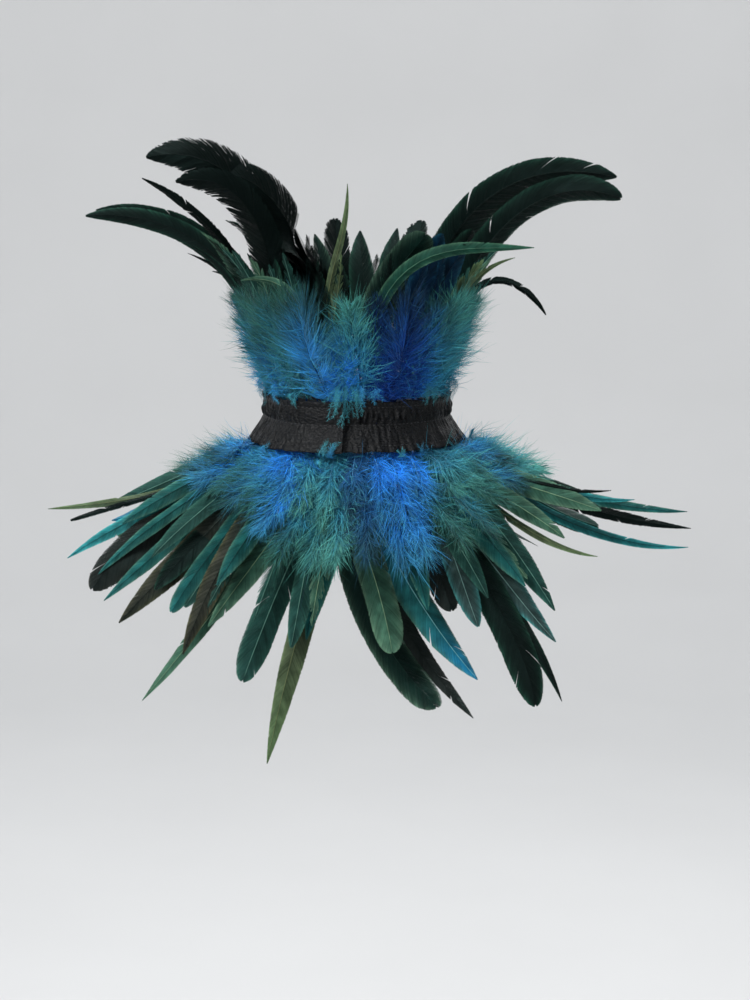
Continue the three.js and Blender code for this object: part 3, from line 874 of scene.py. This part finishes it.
def ribbons(path, facing, half):
    """Two edges, half to each side of paths shaped (count, stations, 3), flat to the given facing."""
    flat = unit(np.cross(np.gradient(path, axis=1), facing[:, None]))
    return np.stack([path - flat * half, path + flat * half], 2)


def add_down(grids, shaft, trim, tone, span, spread, count, width, puff, place, shade=1.0, loose=1.0):
    """Barbs in small locks that fan out from the shaft, curl towards its tip and end in fine points."""
    root_tone, side_tone, far_tone = (colour(c) for c in DOWN_TONES[tone])

    def scatter(kinds):
        return rng.normal(0, kinds[0] + kinds[1] * loose, count)

    locks = max(FEWEST_LOCKS, count // LOCK_BARBS)
    lock = rng.integers(0, locks, count)
    share = ((rng.random(locks) ** 0.9)[lock] + rng.normal(0, ALONG_SCATTER, count)).clip(0, 1)
    sign = rng.choice([-1.0, 1.0], locks)[lock]
    lean = blend(*trim["fan"], share) + rng.normal(0, LOCK_LEAN, locks)[lock] + scatter(BARB_LEAN)
    lift = puff + rng.normal(0, LOCK_LIFT, locks)[lock] + scatter(BARB_LIFT)
    size = (LOCK_SIZE[0] + LOCK_SIZE[1] * rng.random(locks) ** 1.2)[lock] * rng.uniform(*BARB_SIZE, count)
    length = spread * size * (0.5 + 0.5 * np.sin(np.pi * np.clip(share * 0.85 + 0.12, 0, 1)))
    start, tangent, face, side = shaft.at(span[0] + (span[1] - span[0]) * share)
    off = loose * np.abs(rng.normal(0, ROOT_SCATTER, (count, 2)))
    start = start + side * (sign * off[:, 0])[:, None] + face * off[:, 1:]
    lean, lift = np.radians(lean)[:, None], np.radians(lift)[:, None]
    across = side * sign[:, None] * np.cos(lift) + face * np.sin(lift)
    heading = tangent * np.cos(lean) + across * np.sin(lean)
    stray = (rng.random(count) < STRAY_SHARE * (0.4 + 0.6 * loose))[:, None] & (width < 1)
    heading = unit(heading + stray * rng.normal(0, STRAY_TURN, (count, 3)))
    bend = tangent * rng.normal(*CURL, count)[:, None]
    bend = bend + rng.normal(0, LOCK_BEND, (locks, 3))[lock]
    bend = bend + rng.normal(0, BARB_BEND[0] + BARB_BEND[1] * loose, (count, 3))
    tau = DOWN_STATIONS[None, :, None]
    path = start[:, None] + length[:, None, None] * (heading[:, None] * tau + bend[:, None] * tau ** 2)
    phase = rng.uniform(0, FULL_TURN, count)[:, None, None]
    wander = unit(np.cross(heading, face))[:, None] * np.sin(tau * WANDER_TURN + phase)
    path = path + wander * tau * rng.uniform(*WANDER, count)[:, None, None]
    half = 0.5 * width * DOWN_TAPER[None, :, None] * rng.uniform(*WIDTH_SPREAD, count)[:, None, None]
    half = half * np.where(stray, STRAY_WIDTH, 1)[..., None]
    facing = face + rng.normal(0, FACING_SCATTER, (count, 3))
    points = keep_clear(ribbons(path, facing, half), trim["above"])
    uneven = rng.normal(0, TONE_SCATTER, count)[:, None, None]
    from_shaft = tau * (length / spread)[:, None, None]
    from_root = share[:, None, None]
    tint = blend(root_tone, side_tone, smoothstep(from_shaft + 0.3 * from_root + uneven, *SIDE_RUN))
    tint = blend(tint, far_tone, smoothstep(from_root + 0.4 * from_shaft + uneven, *FAR_RUN))
    # painted shade on barbs that lie deep, lighter towards those lifted on top
    painted_deep_shade = DEPTH_PAINTED_SHADE[0] + DEPTH_PAINTED_SHADE[1] * smoothstep(lift, -0.5, 0.6)
    # stray barbs get a painted highlight in place of the painted depth shade
    depth = np.where(stray, STRAY_PAINTED_HIGHLIGHT, painted_deep_shade)[..., None]
    uneven = rng.normal(1, LOCK_SHADE, locks)[lock] * rng.normal(1, TONE_SCATTER, count)
    # painted shade towards the shaft along each barb
    tint = tint * shade * depth * blend(*BARB_PAINTED_SHADE, tau) * uneven.clip(0.5, 1.6)[:, None, None]
    mapped = place(share[:, None, None], np.stack([tau[0, :, 0] * DOWN_MAP] * 2, -1)[None])
    lane = np.arange(count)[:, None, None] * DOWN_RIDGES + np.array([0, DOWN_RIDGES])
    grids.add(points, tint[:, :, None, :], mapped, lane)


def add_strands(grids, rows, place):
    """Tufts of frizzy barbs with their barbules, which lie over the band's outside."""
    tau = np.linspace(0, 1, len(STRAND_TAPER))
    fine = np.linspace(0, 1, len(BARBULE_TAPER))[None, :, None]
    strand_half = STRAND_HALF * np.array(STRAND_TAPER)[None, :, None]
    barbule_half = BARBULE_HALF * np.array(BARBULE_TAPER)[None, :, None]
    hairs = STRAND_BARBULES
    for azimuth, end_azimuth, height, end_height, tone, count in rows:
        core, ends, _ = (colour(c) for c in DOWN_TONES[tone])
        for _ in range(count):
            heights = blend(height, blend(height, end_height, rng.uniform(*STRAND_HEIGHTS)), tau)
            azimuths = blend(azimuth + rng.normal(0, STRAND_SCATTER[0]),
                             end_azimuth + rng.normal(0, STRAND_SCATTER[1]), tau)
            wave = rng.uniform(*STRAND_WAVE)
            azimuths = azimuths + wave * np.sin(tau * rng.uniform(*STRAND_TURNS) + rng.uniform(0, FULL_TURN))
            radius = band_reach(ring_point(azimuths, 1, heights)) - STRAND_SINK
            radius = radius + rng.uniform(*STRAND_PUFF) * np.sin(np.pi * np.clip(tau, 0, 0.9))
            radius = radius - STRAND_ROOT_SINK * (1 - smoothstep(tau, 0, STRAND_ROOT_RUN))
            path = ring_point(azimuths, radius, heights)
            facing = unit(path[len(tau) // 2] * (1, 1, 0))[None]
            tint = blend(core, ends, tau[:, None])[None, :, None, :] * rng.uniform(*STRAND_SHADE)
            grids.add(ribbons(path[None], facing, strand_half), tint, place(tau[None, :, None], 0.5))
            at = rng.uniform(0.1, 1, hairs)
            start = at_places(at, tau, path)
            ahead = unit(at_places(at, tau, np.gradient(path, axis=0)))
            sideways = np.cross(ahead, facing) * rng.choice([-1.0, 1.0], hairs)[:, None]
            heading = ahead * 0.7 + sideways * 0.8 + facing * rng.normal(*BARBULE_LIFT, hairs)[:, None]
            length = (rng.uniform(*BARBULE_LENGTH, hairs) * blend(1.0, 0.5, at))[:, None, None]
            curl = unit(heading)[:, None] * fine + ahead[:, None] * 0.2 * fine ** 2
            shades = blend(core, ends, np.clip(at[:, None, None] * 0.6 + fine * 0.4, 0, 1))
            shades = shades * rng.normal(*BARBULE_SHADE, hairs).clip(0.5, 1.5)[:, None, None]
            barbules = ribbons(start[:, None] + length * curl, np.repeat(facing, hairs, 0), barbule_half)
            grids.add(barbules, shades[:, :, None, :], place(at[:, None, None], 0.5))


def named(rows):
    return [dict(zip(PLUME_COLUMNS, row)) for row in rows]


def even_row(layout):
    """Number, azimuth and small swing of each feather of an even row."""
    for i in range(layout["count"]):
        yield i, blend(layout["first"], layout["last"], i / (layout["count"] - 1)), np.sin(i * SWING_STEP)


def spaced(layout, tones, ends_at):
    """An even row of plumes with a small swing from one to the next."""
    rows = []
    for i, azimuth, swing in even_row(layout):
        height, arrive = ends_at(azimuth)
        rows.append({
            "root": azimuth,
            "tip": azimuth + SWING_AZIMUTH * np.cos(i * SWING_STEP),
            "reach": layout["reach"] + SWING_REACH * swing,
            "height": height + SWING_HEIGHT * swing,
            "rise": layout["rise"],
            "arrive": arrive,
            "width": layout["width"],
            "shape": layout.get("shape") or ("point" if i % 3 else "round"),
            "tone": tones[i % len(tones)],
        })
    return rows


def cape_end(share):
    return lambda azimuth: (share * round_neck(azimuth, DOWN_FALL), round_neck(azimuth, DOWN_ARRIVE))


def down_rows(rows, back, rise, ends_at):
    """The down feathers placed one by one at the front, then an even row round the back."""
    found = []
    for root, tip, reach, height, spread, tone in rows:
        found.append(dict(root=root, tip=tip, reach=reach, height=height, spread=spread, tone=tone))
    for i, azimuth, swing in even_row(back):
        found.append(dict(
            root=azimuth,
            tip=azimuth,
            reach=back["reach"] + DOWN_BACK_SWING * swing,
            height=ends_at(azimuth)[0] + DOWN_BACK_SWING * swing,
            spread=back["spread"],
            tone=DOWN_BACK_TONES[i % len(DOWN_BACK_TONES)]))
    for row in found:
        row.update(rise=rise, arrive=ends_at(row["root"])[1])
    return found


def feather_trim(prefix, trim, plumes, downs, strands, vane_look, down_look):
    """One trim: vanes in one mesh, down in a left, a right and a back mesh."""
    vanes = Grids()
    vane_cells = Cells(len(plumes) + len(downs))
    parts = {name: (Grids(), Cells(len(plumes) + len(downs) + 1)) for name in ("left", "right", "back")}

    def fluff(azimuth):
        a = np.radians(azimuth)
        grids, cells = parts["back" if np.cos(a) < 0 else "left" if np.sin(a) < 0 else "right"]
        return grids, cells.take()

    def tone_near(azimuth):
        gaps = [abs((row["root"] - azimuth + 180) % 360 - 180) for row in downs]
        return downs[int(np.argmin(gaps))]["tone"]

    for row in plumes:
        sink = trim["sink"].get(row["tone"], trim["raise"])
        twist, bow = rng.uniform(-VANE_TWIST, VANE_TWIST), rng.uniform(-VANE_BOW, VANE_BOW)
        shaft = Shaft(row, trim, twist, sink, bow)
        place = vane_cells.take()
        add_vane(vanes, shaft, row, min(VANE_START, VANE_START_SHARE * shaft.length), place)
        thick = SHAFT_THICK[0] + SHAFT_THICK[1] * row["width"]
        add_shaft(vanes, shaft, row["tone"], trim["quill"], thick, place)
        grids, place = fluff(row["root"])
        tone = tone_near(row["root"])
        add_down(grids, shaft, trim, tone, PLUME_DOWN, PLUME_SPREAD, PLUME_BARBS, DOWN_WIDTH, 0, place)
    for row in downs:
        combed = trim["above"] and row["root"] in SHOWN_SHAFTS
        at_back = np.cos(np.radians(row["root"])) < 0
        sink = row.get("sink", COMBED_SINK if combed else 0)
        bow, twist = rng.uniform(-DOWN_BOW, DOWN_BOW), rng.uniform(-DOWN_TWIST, DOWN_TWIST)
        shaft = Shaft(row, trim, twist, sink, bow, DOWN_FORWARD)
        thick = COMBED_SHAFT if combed else DOWN_SHAFT
        add_shaft(vanes, shaft, "deep_blue", trim["quill"], thick, vane_cells.take())
        grids, place = fluff(row["root"])
        last = min(trim["down_length"], shaft.length - TIP_MARGIN)
        barbs = row.get("barbs") or (BACK_BARBS if at_back else trim["barbs"])
        spread = row["spread"] * rng.uniform(*DOWN_SPREAD)
        loose = COMBED_LOOSE if combed else 1.0
        # the core lock under the loose barbs gets painted shade
        add_down(grids, shaft, trim, row["tone"], (CORE_START, last), spread * CORE_SPREAD, CORE_BARBS,
                 CORE_WIDTH, CORE_PUFF, place, CORE_PAINTED_SHADE, 0)
        add_down(grids, shaft, trim, row["tone"], (DOWN_START, last), spread, barbs, DOWN_WIDTH, DOWN_PUFF,
                 place, 1.0, loose)
    grids, place = fluff(1)
    add_strands(grids, strands, place)
    made = [vanes.build(prefix + "_vanes", vane_look)]
    return made + [grids.build(f"{prefix}_down_{name}", down_look) for name, (grids, _) in parts.items()]


# Materials

def new_material(name, **constants):
    material = bpy.data.materials.new(name)
    material.use_nodes = True
    tree = material.node_tree
    shader = tree.nodes["Principled BSDF"]
    for key, value in constants.items():
        shader.inputs[key.replace("_", " ")].default_value = value
    return material, tree, shader


def node(tree, kind, links=None, **settings):
    made = tree.nodes.new(kind)
    for key, value in settings.items():
        setattr(made, key, value)
    for key, value in (links or {}).items():
        if isinstance(value, bpy.types.NodeSocket):
            tree.links.new(value, made.inputs[key])
        else:
            made.inputs[key].default_value = value
    return made


def noise(tree, vector, scale, detail):
    links = {"Vector": vector, "Scale": scale, "Detail": detail}
    return node(tree, "ShaderNodeTexNoise", links).outputs["Fac"]


def mapped_by(tree, vector, scale):
    return node(tree, "ShaderNodeMapping", {"Vector": vector, "Scale": scale}).outputs["Vector"]


def ranged(tree, value, low, high, ends=NOISE_ENDS):
    links = {"Value": value, "From Min": ends[0], "From Max": ends[1], "To Min": low, "To Max": high}
    return node(tree, "ShaderNodeMapRange", links).outputs["Result"]


def maths(tree, operation, *values):
    return node(tree, "ShaderNodeMath", dict(enumerate(values)), operation=operation).outputs[0]


def relief(tree, height, strength, distance, **links):
    links = {"Height": height, "Strength": strength, "Distance": distance, **links}
    return node(tree, "ShaderNodeBump", links).outputs["Normal"]


def link_surface(tree, shader, value, rough, normal):
    """Links the mesh's own tint, made lighter or darker by value, and the roughness and relief."""
    tint = node(tree, "ShaderNodeAttribute", attribute_name="tint").outputs["Color"]
    shade = node(tree, "ShaderNodeHueSaturation", {"Color": tint, "Value": value}).outputs["Color"]
    for key, socket in (("Base Color", shade), ("Roughness", rough), ("Normal", normal)):
        tree.links.new(socket, shader.inputs[key])


def feather_material(name, scale, rough_low, rough_high, bump, **constants):
    """Tint per barb, mottled by noise, with fine barbules as bump and an uneven gloss."""
    material, tree, shader = new_material(name, **constants)
    where = node(tree, "ShaderNodeTexCoord").outputs["Object"]
    lane = node(tree, "ShaderNodeAttribute", attribute_name="lane").outputs["Fac"]
    value = ranged(tree, noise(tree, where, scale, 4.0), *MOTTLE)
    rough = ranged(tree, noise(tree, where, scale * GLOSS_SCALE, 2.0), rough_low, rough_high)
    ridges = maths(tree, "SINE", maths(tree, "MULTIPLY", lane, 6.2832))
    height = maths(tree, "ADD", ridges, noise(tree, where, BARBULE_SCALE, 2.0))
    link_surface(tree, shader, value, rough, relief(tree, height, bump, BARBULE_DEPTH))
    return material


def cloth_material(name, along, across, warp, weft, rough_low, rough_high, bump, crumple=0.0, **constants):
    """Woven cloth: threads that follow the piece's own map, slubs in colour and gloss, and relief."""
    material, tree, shader = new_material(name, **constants)
    where = node(tree, "ShaderNodeUVMap", uv_map="OFBake").outputs["UV"]
    scaled = mapped_by(tree, where, (along, across, 1))
    threads = mapped_by(tree, scaled, (warp, weft, 1))
    weave = noise(tree, threads, 1.0, 3.0)
    slubs = noise(tree, scaled, SLUB_SCALE, 4.0)
    value = maths(tree, "MULTIPLY", ranged(tree, weave, *WEAVE_SHADE), ranged(tree, slubs, *SLUB_SHADE))
    normal = relief(tree, weave, bump, WEAVE_DEPTH)
    if crumple:
        creases = noise(tree, scaled, CRUMPLE_SCALE, 3.0)
        normal = relief(tree, creases, crumple, CRUMPLE_DEPTH, Normal=normal)
    link_surface(tree, shader, value, ranged(tree, slubs, rough_low, rough_high), normal)
    return material


vane_material = feather_material(
    "feather_vane", 160.0, 0.32, 0.52, 0.5,
    Specular_Tint=(0.5, 0.9, 0.82, 1), Specular_IOR_Level=0.17)
down_material = feather_material(
    "feather_down", 90.0, 0.6, 0.85, 0.25,
    Sheen_Weight=0.35, Sheen_Roughness=0.4, Sheen_Tint=(0.45, 0.75, 0.95, 1), Specular_IOR_Level=0.25)

ruff_plumes = named(RUFF_PLUMES) + named(RUFF_FILL)
ruff_plumes += spaced(RUFF_BACK, RUFF_BACK_TONES, lambda azimuth: RUFF_BACK_END)
ruff_plumes += spaced(RUFF_BACK_LOW, RUFF_BACK_TONES, lambda azimuth: RUFF_BACK_LOW_END)
cape_plumes = named(CAPE_PLUMES) + named(CAPE_FILL)
cape_plumes += spaced(CAPE_BACK, CAPE_BACK_TONES, cape_end(BACK_FALL))
cape_plumes += spaced(CAPE_BACK_LOW, CAPE_BACK_TONES, cape_end(BACK_LOW_FALL))
ruff_downs = down_rows(RUFF_DOWN, RUFF_DOWN_BACK, RUFF_DOWN_RISE, lambda azimuth: RUFF_DOWN_END)
cape_downs = down_rows(CAPE_DOWN, CAPE_DOWN_BACK, CAPE_DOWN_RISE, cape_end(1))
for tuft in down_rows(CAPE_TUFTS, {"count": 0}, TUFT_RISE, cape_end(1)):
    cape_downs.append({**tuft, "sink": TUFT_SINK, "barbs": TUFT_BARBS})

looks = (vane_material, down_material)
for piece in feather_trim("ruff", RUFF, ruff_plumes, ruff_downs, RUFF_STRANDS, *looks):
    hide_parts("ruff_trim")
for piece in feather_trim("cape", CAPE, cape_plumes, cape_downs, CAPE_STRANDS, *looks):
    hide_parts("cape_trim")


# Band, tapes, threads and press stud

def ripples(azimuth, low, high, count, slant):
    """Uneven waves round the neck, of low to high turns, that slant and break with the height."""
    turns = np.linspace(low, high, count)
    phases = rng.uniform(0, FULL_TURN, count)
    slants = rng.normal(0, slant, count)

    def wave(height):
        angle = np.radians(azimuth)
        total = sum(np.sin(angle * t + s * height + p) for t, s, p in zip(turns, slants, phases))
        return total / np.sqrt(count / 2)

    return wave


band_azimuth = np.linspace(LAP_UNDER_END, LAP_OVER_END, BAND_COLUMNS)[:, None]
from_end = np.minimum(band_azimuth - LAP_UNDER_END, LAP_OVER_END - band_azimuth)
gather_depth = blend(FLAT_PLEAT, 1, smoothstep(from_end, 0.5 * FLAT_REACH, 1.5 * FLAT_REACH))
wide_ripples = ripples(band_azimuth, *WIDE_RIPPLES)
gathers = ripples(band_azimuth, *GATHERS)
fine_gathers = ripples(band_azimuth, *FINE_GATHERS)
edge_wander = ripples(band_azimuth, *EDGE_WANDER)


def band_radius(height):
    """Outer radius of the band for each column of it and each height."""
    shifts = (-LEVEL_BLUR, 0, LEVEL_BLUR)
    level = sum(np.interp(height + shift, BAND_HEIGHTS, BAND_RADII) for shift in shifts) / len(shifts)
    _, waist, top = STITCH_HEIGHTS
    upper = np.sin(np.pi * np.clip((height - waist) / (top - waist), 0, 1))
    header = smoothstep(height, top, BAND_HIGH)
    skirt = smoothstep(waist - height, 0, waist - BAND_LOW)
    pinch = np.exp(-np.abs(height - waist) / 4) * (1 - np.exp(-((height - waist) / 1.2) ** 2))
    zones = (upper, header, pinch, skirt)
    shape = gathers(height) * sum(depth * zone for depth, zone in zip(GATHER_DEPTHS, zones))
    shape = shape + fine_gathers(height) * sum(depth * zone for depth, zone in zip(FINE_DEPTHS, zones))
    shape = shape + wide_ripples(height) * WIDE_DEPTH * skirt
    grooves = sum(np.exp(-((height - row) / GROOVE_WIDTH) ** 2) for row in STITCH_HEIGHTS)
    return level + lap_lift(band_azimuth) + gather_depth * shape - GROOVE_DEPTH * grooves


def band_loop():
    """Heights and depths into the wall of one section, up the outside and down the inside."""
    up = np.linspace(BAND_LOW, BAND_HIGH, BAND_OUTER_ROWS)
    down = np.linspace(BAND_HIGH, BAND_LOW, BAND_INNER_ROWS)
    turn = np.linspace(0, np.pi, 5)[1:-1]
    over = BAND_HIGH + EDGE_ROUND * np.sin(turn)
    under = BAND_LOW - EDGE_ROUND * np.sin(turn)
    heights = np.concatenate([up, over, down, under])
    depths = np.concatenate([up * 0, (1 - np.cos(turn)) / 2, down * 0 + 1, (1 + np.cos(turn)) / 2])
    return heights[None], depths[None]


heights, depths = band_loop()
wall = BAND_WALL * np.sqrt(1 - (1 - np.clip(from_end / END_ROUND, 0, 1)) ** 2)
sway = EDGE_SWAY * edge_wander(0) * gather_depth
radius = band_radius(heights) - depths * wall
lifted = heights + sway * np.abs(heights) / BAND_HIGH
band = Grids()
share = np.linspace(0, 1, BAND_COLUMNS)[:, None]
loop_share = np.linspace(0, 1, heights.size)[None]
relief_height = band_radius(heights) - np.mean(band_radius(heights), 0)
# painted shade in the satin's folds and painted highlight on the raised gathers
painted_fold_shading = blend(*FOLD_PAINTED_SHADE, smoothstep(relief_height, -0.8, 0.8))
tint = colour(SATIN_COLOUR) * painted_fold_shading[..., None]
band.add(ring_point(band_azimuth, radius, lifted)[None], tint[None],
         np.stack(np.broadcast_arrays(share, loop_share), -1)[None], wrap=True)
satin = cloth_material("band_satin", 440.0, 68.0, 3.2, 0.45, 0.36, 0.56, 0.4, crumple=1.0,
                       Sheen_Weight=0.02, Sheen_Roughness=0.35, Specular_IOR_Level=0.27)
band_piece = band.build("band_satin_shell", satin)
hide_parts("neck_band")


def add_stitches(grids, start, stop, out, place):
    """Thread stitches from start to stop, raised in the middle and sunk at both ends."""
    tau = np.linspace(0, 1, 6)[None, :, None]
    path = start[:, None] + (stop - start)[:, None] * tau
    path = path + out[:, None] * (STITCH_RISE * np.sin(np.pi * tau) - STITCH_SINK)
    across = unit(np.cross(stop - start, out))[:, None, None]
    angle = np.arange(STITCH_SIDES)[None, None, :, None] / STITCH_SIDES * 2 * np.pi
    ring = np.cos(angle) * across + np.sin(angle) * out[:, None, None]
    thick = THREAD * np.array([0.1, 0.9, 1, 1, 0.9, 0.1])[None, :, None, None]
    shades = rng.normal(1, 0.12, len(start)).clip(0.6, 1.4)
    tint = colour(THREAD_COLOUR) * shades[:, None, None, None]
    grids.add(path[:, :, None] + ring * thick, tint, place, wrap=True)


stitches = Grids()
for row, height in enumerate(STITCH_HEIGHTS):
    level = np.interp(height, BAND_HEIGHTS, BAND_RADII)
    pitch = np.degrees(STITCH_PITCH / level)
    begins = np.arange(LAP_UNDER_END + 1.2, LAP_OVER_END - 3, pitch)
    stops = begins + np.degrees(STITCH_LENGTH / level)
    outer = band_radius(np.array([[height]]))[:, 0]
    first = ring_point(begins, np.interp(begins, band_azimuth[:, 0], outer), height)
    second = ring_point(stops, np.interp(stops, band_azimuth[:, 0], outer), height)
    add_stitches(stitches, first, second, outwards((begins + stops) / 2), (0.5, 0.1 + 0.2 * row))
end_heights = np.arange(BAND_LOW + 1.5, BAND_HIGH - 3, STITCH_PITCH)
end_azimuth = LAP_OVER_END - END_STITCHES
column = int(np.argmin(np.abs(band_azimuth[:, 0] - end_azimuth)))
first = ring_point(end_azimuth, band_radius(end_heights[None])[column], end_heights)
next_heights = end_heights + STITCH_LENGTH
second = ring_point(end_azimuth, band_radius(next_heights[None])[column], next_heights)
add_stitches(stitches, first, second, np.repeat(outwards(end_azimuth)[None], len(first), 0), (0.5, 0.8))
thread_material = cloth_material("sewing_thread", 40.0, 40.0, 3.0, 3.0, 0.5, 0.7, 0.3, Sheen_Weight=0.2)
stitch_piece = stitches.build("band_stitches", thread_material)


def woven_tape(name, span, owner):
    """A ribbed tape inside the band, and the zigzag of thread that sews the quills to it."""
    low, high = span
    azimuth = np.linspace(FRONT_SLIT, 360 - FRONT_SLIT, TAPE_COLUMNS)[:, None]
    turn = np.arange(TAPE_SECTION) / TAPE_SECTION * 2 * np.pi
    squared = 1 / np.maximum(np.abs(np.cos(turn)), np.abs(np.sin(turn)))
    rounded = blend(np.ones(TAPE_SECTION), squared, TAPE_SQUARE)[None]
    heights = (low + high) / 2 + (high - low) / 2 * np.sin(turn)[None] * rounded
    radius = TAPE_RADIUS + TAPE_WALL / 2 * np.cos(turn)[None] * rounded
    ribs = RIB_DEPTH * np.sign(np.cos(turn))[None] * np.sin(np.radians(azimuth) * TAPE_RIBS)
    grids = Grids()
    lengthwise = np.linspace(0, 1, TAPE_COLUMNS)[:, None]
    share = np.stack(np.broadcast_arrays(lengthwise, turn[None] / FULL_TURN), -1)
    grids.add(ring_point(azimuth, radius + ribs, heights)[None], colour(TAPE_COLOUR), share[None], wrap=True)
    look = cloth_material(name, 354.0, 24.0, 1.4, 4.0, 0.6, 0.8, 0.4, Sheen_Weight=0.2)
    piece = grids.build(name, look)
    corners = np.arange(FRONT_SLIT + 2, 358 - FRONT_SLIT, TAPE_STITCH)
    edge = np.where(np.arange(len(corners)) % 2, high - 2, low + 2)
    inside = ring_point(corners, TAPE_RADIUS - TAPE_WALL / 2 - 0.05, edge)
    threads = Grids()
    add_stitches(threads, inside[:-1], inside[1:], -outwards((corners[:-1] + corners[1:]) / 2), (0.5, 0.5))
    thread_piece = threads.build(name + "_thread", thread_material)
    for made in (piece, thread_piece):
        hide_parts(owner)


woven_tape("ruff_tape", RUFF_TAPE, "ruff_trim")
woven_tape("cape_tape", CAPE_TAPE, "cape_trim")

# Press stud
snap_profile = SNAP_HALF + [(r, -h) for r, h in reversed(SNAP_HALF)]
axis = outwards(SNAP_AZIMUTH)
level_way = np.cross([0, 0, 1], axis)
angle = np.arange(SNAP_SIDES) / SNAP_SIDES * 2 * np.pi
spokes = np.cos(angle)[:, None] * level_way + np.sin(angle)[:, None] * np.array([0, 0, 1])
middle = ring_point(SNAP_AZIMUTH, SNAP_CENTRE, SNAP_HEIGHT)
stud_rings = np.stack([middle + spokes * r + axis * h for r, h in snap_profile])
stud = Grids()
profile_share = np.linspace(0, 1, len(snap_profile))[:, None]
stud_place = np.stack(np.broadcast_arrays(0.5 + 0.1 * np.cos(angle)[None], profile_share), -1)
stud.add(stud_rings[None], colour(SNAP_COLOUR), stud_place[None], wrap=True)
stud_material, tree, shader = new_material("snap_metal", Metallic=0.85)
worn = noise(tree, node(tree, "ShaderNodeTexCoord").outputs["Object"], 900.0, 4.0)
tree.links.new(ranged(tree, worn, 0.015, 0.06, (0, 1)), shader.inputs["Base Color"])
tree.links.new(ranged(tree, worn, 0.25, 0.5, (0, 1)), shader.inputs["Roughness"])
stud_piece = stud.build("press_stud", stud_material)
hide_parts("snap_fastener")

# Stage, light and camera
bowl = Grids()
turn = np.arange(FLOOR_SIDES) / FLOOR_SIDES * 360
rings = np.stack([ring_point(turn, r / MM, (h + FLOOR_HEIGHT) / MM) for r, h in FLOOR_PROFILE])
floor_material, tree, shader = new_material("floor_paint", Roughness=0.9)
grain = noise(tree, node(tree, "ShaderNodeTexCoord").outputs["Object"], 3.0, 2.0)
tree.links.new(ranged(tree, grain, *FLOOR_SHADE, (0, 1)), shader.inputs["Base Color"])
bowl.add(rings[None], (0.6, 0.6, 0.6), (0.5, 0.5), wrap=True)
floor = bowl.build("floor", floor_material)


def turned_to(place, aim):
    return (Vector(aim) - Vector(place)).to_track_quat("-Z", "Y").to_euler()


for name, place, aim, size, power in LIGHTS:
    lamp = bpy.data.lights.new(name, "AREA")
    lamp.size = size
    lamp.energy = power
    lit = bpy.data.objects.new(name, lamp)
    lit.location = place
    lit.rotation_euler = turned_to(place, aim)
    bpy.context.scene.collection.objects.link(lit)
world = bpy.data.worlds.new("studio")
world.use_nodes = True
sky = world.node_tree.nodes["Background"].inputs
sky["Color"].default_value = SKY_COLOUR
sky["Strength"].default_value = SKY_STRENGTH
bpy.context.scene.world = world
bpy.context.scene.view_settings.view_transform = "Standard"

camera = bpy.data.objects.new("camera", bpy.data.cameras.new("camera"))
camera.data.lens = CAMERA_LENS
camera.location = CAMERA_PLACE
camera.rotation_euler = turned_to(CAMERA_PLACE, CAMERA_AIM)
bpy.context.scene.collection.objects.link(camera)
bpy.context.scene.camera = camera

bpy.context.view_layer.update()
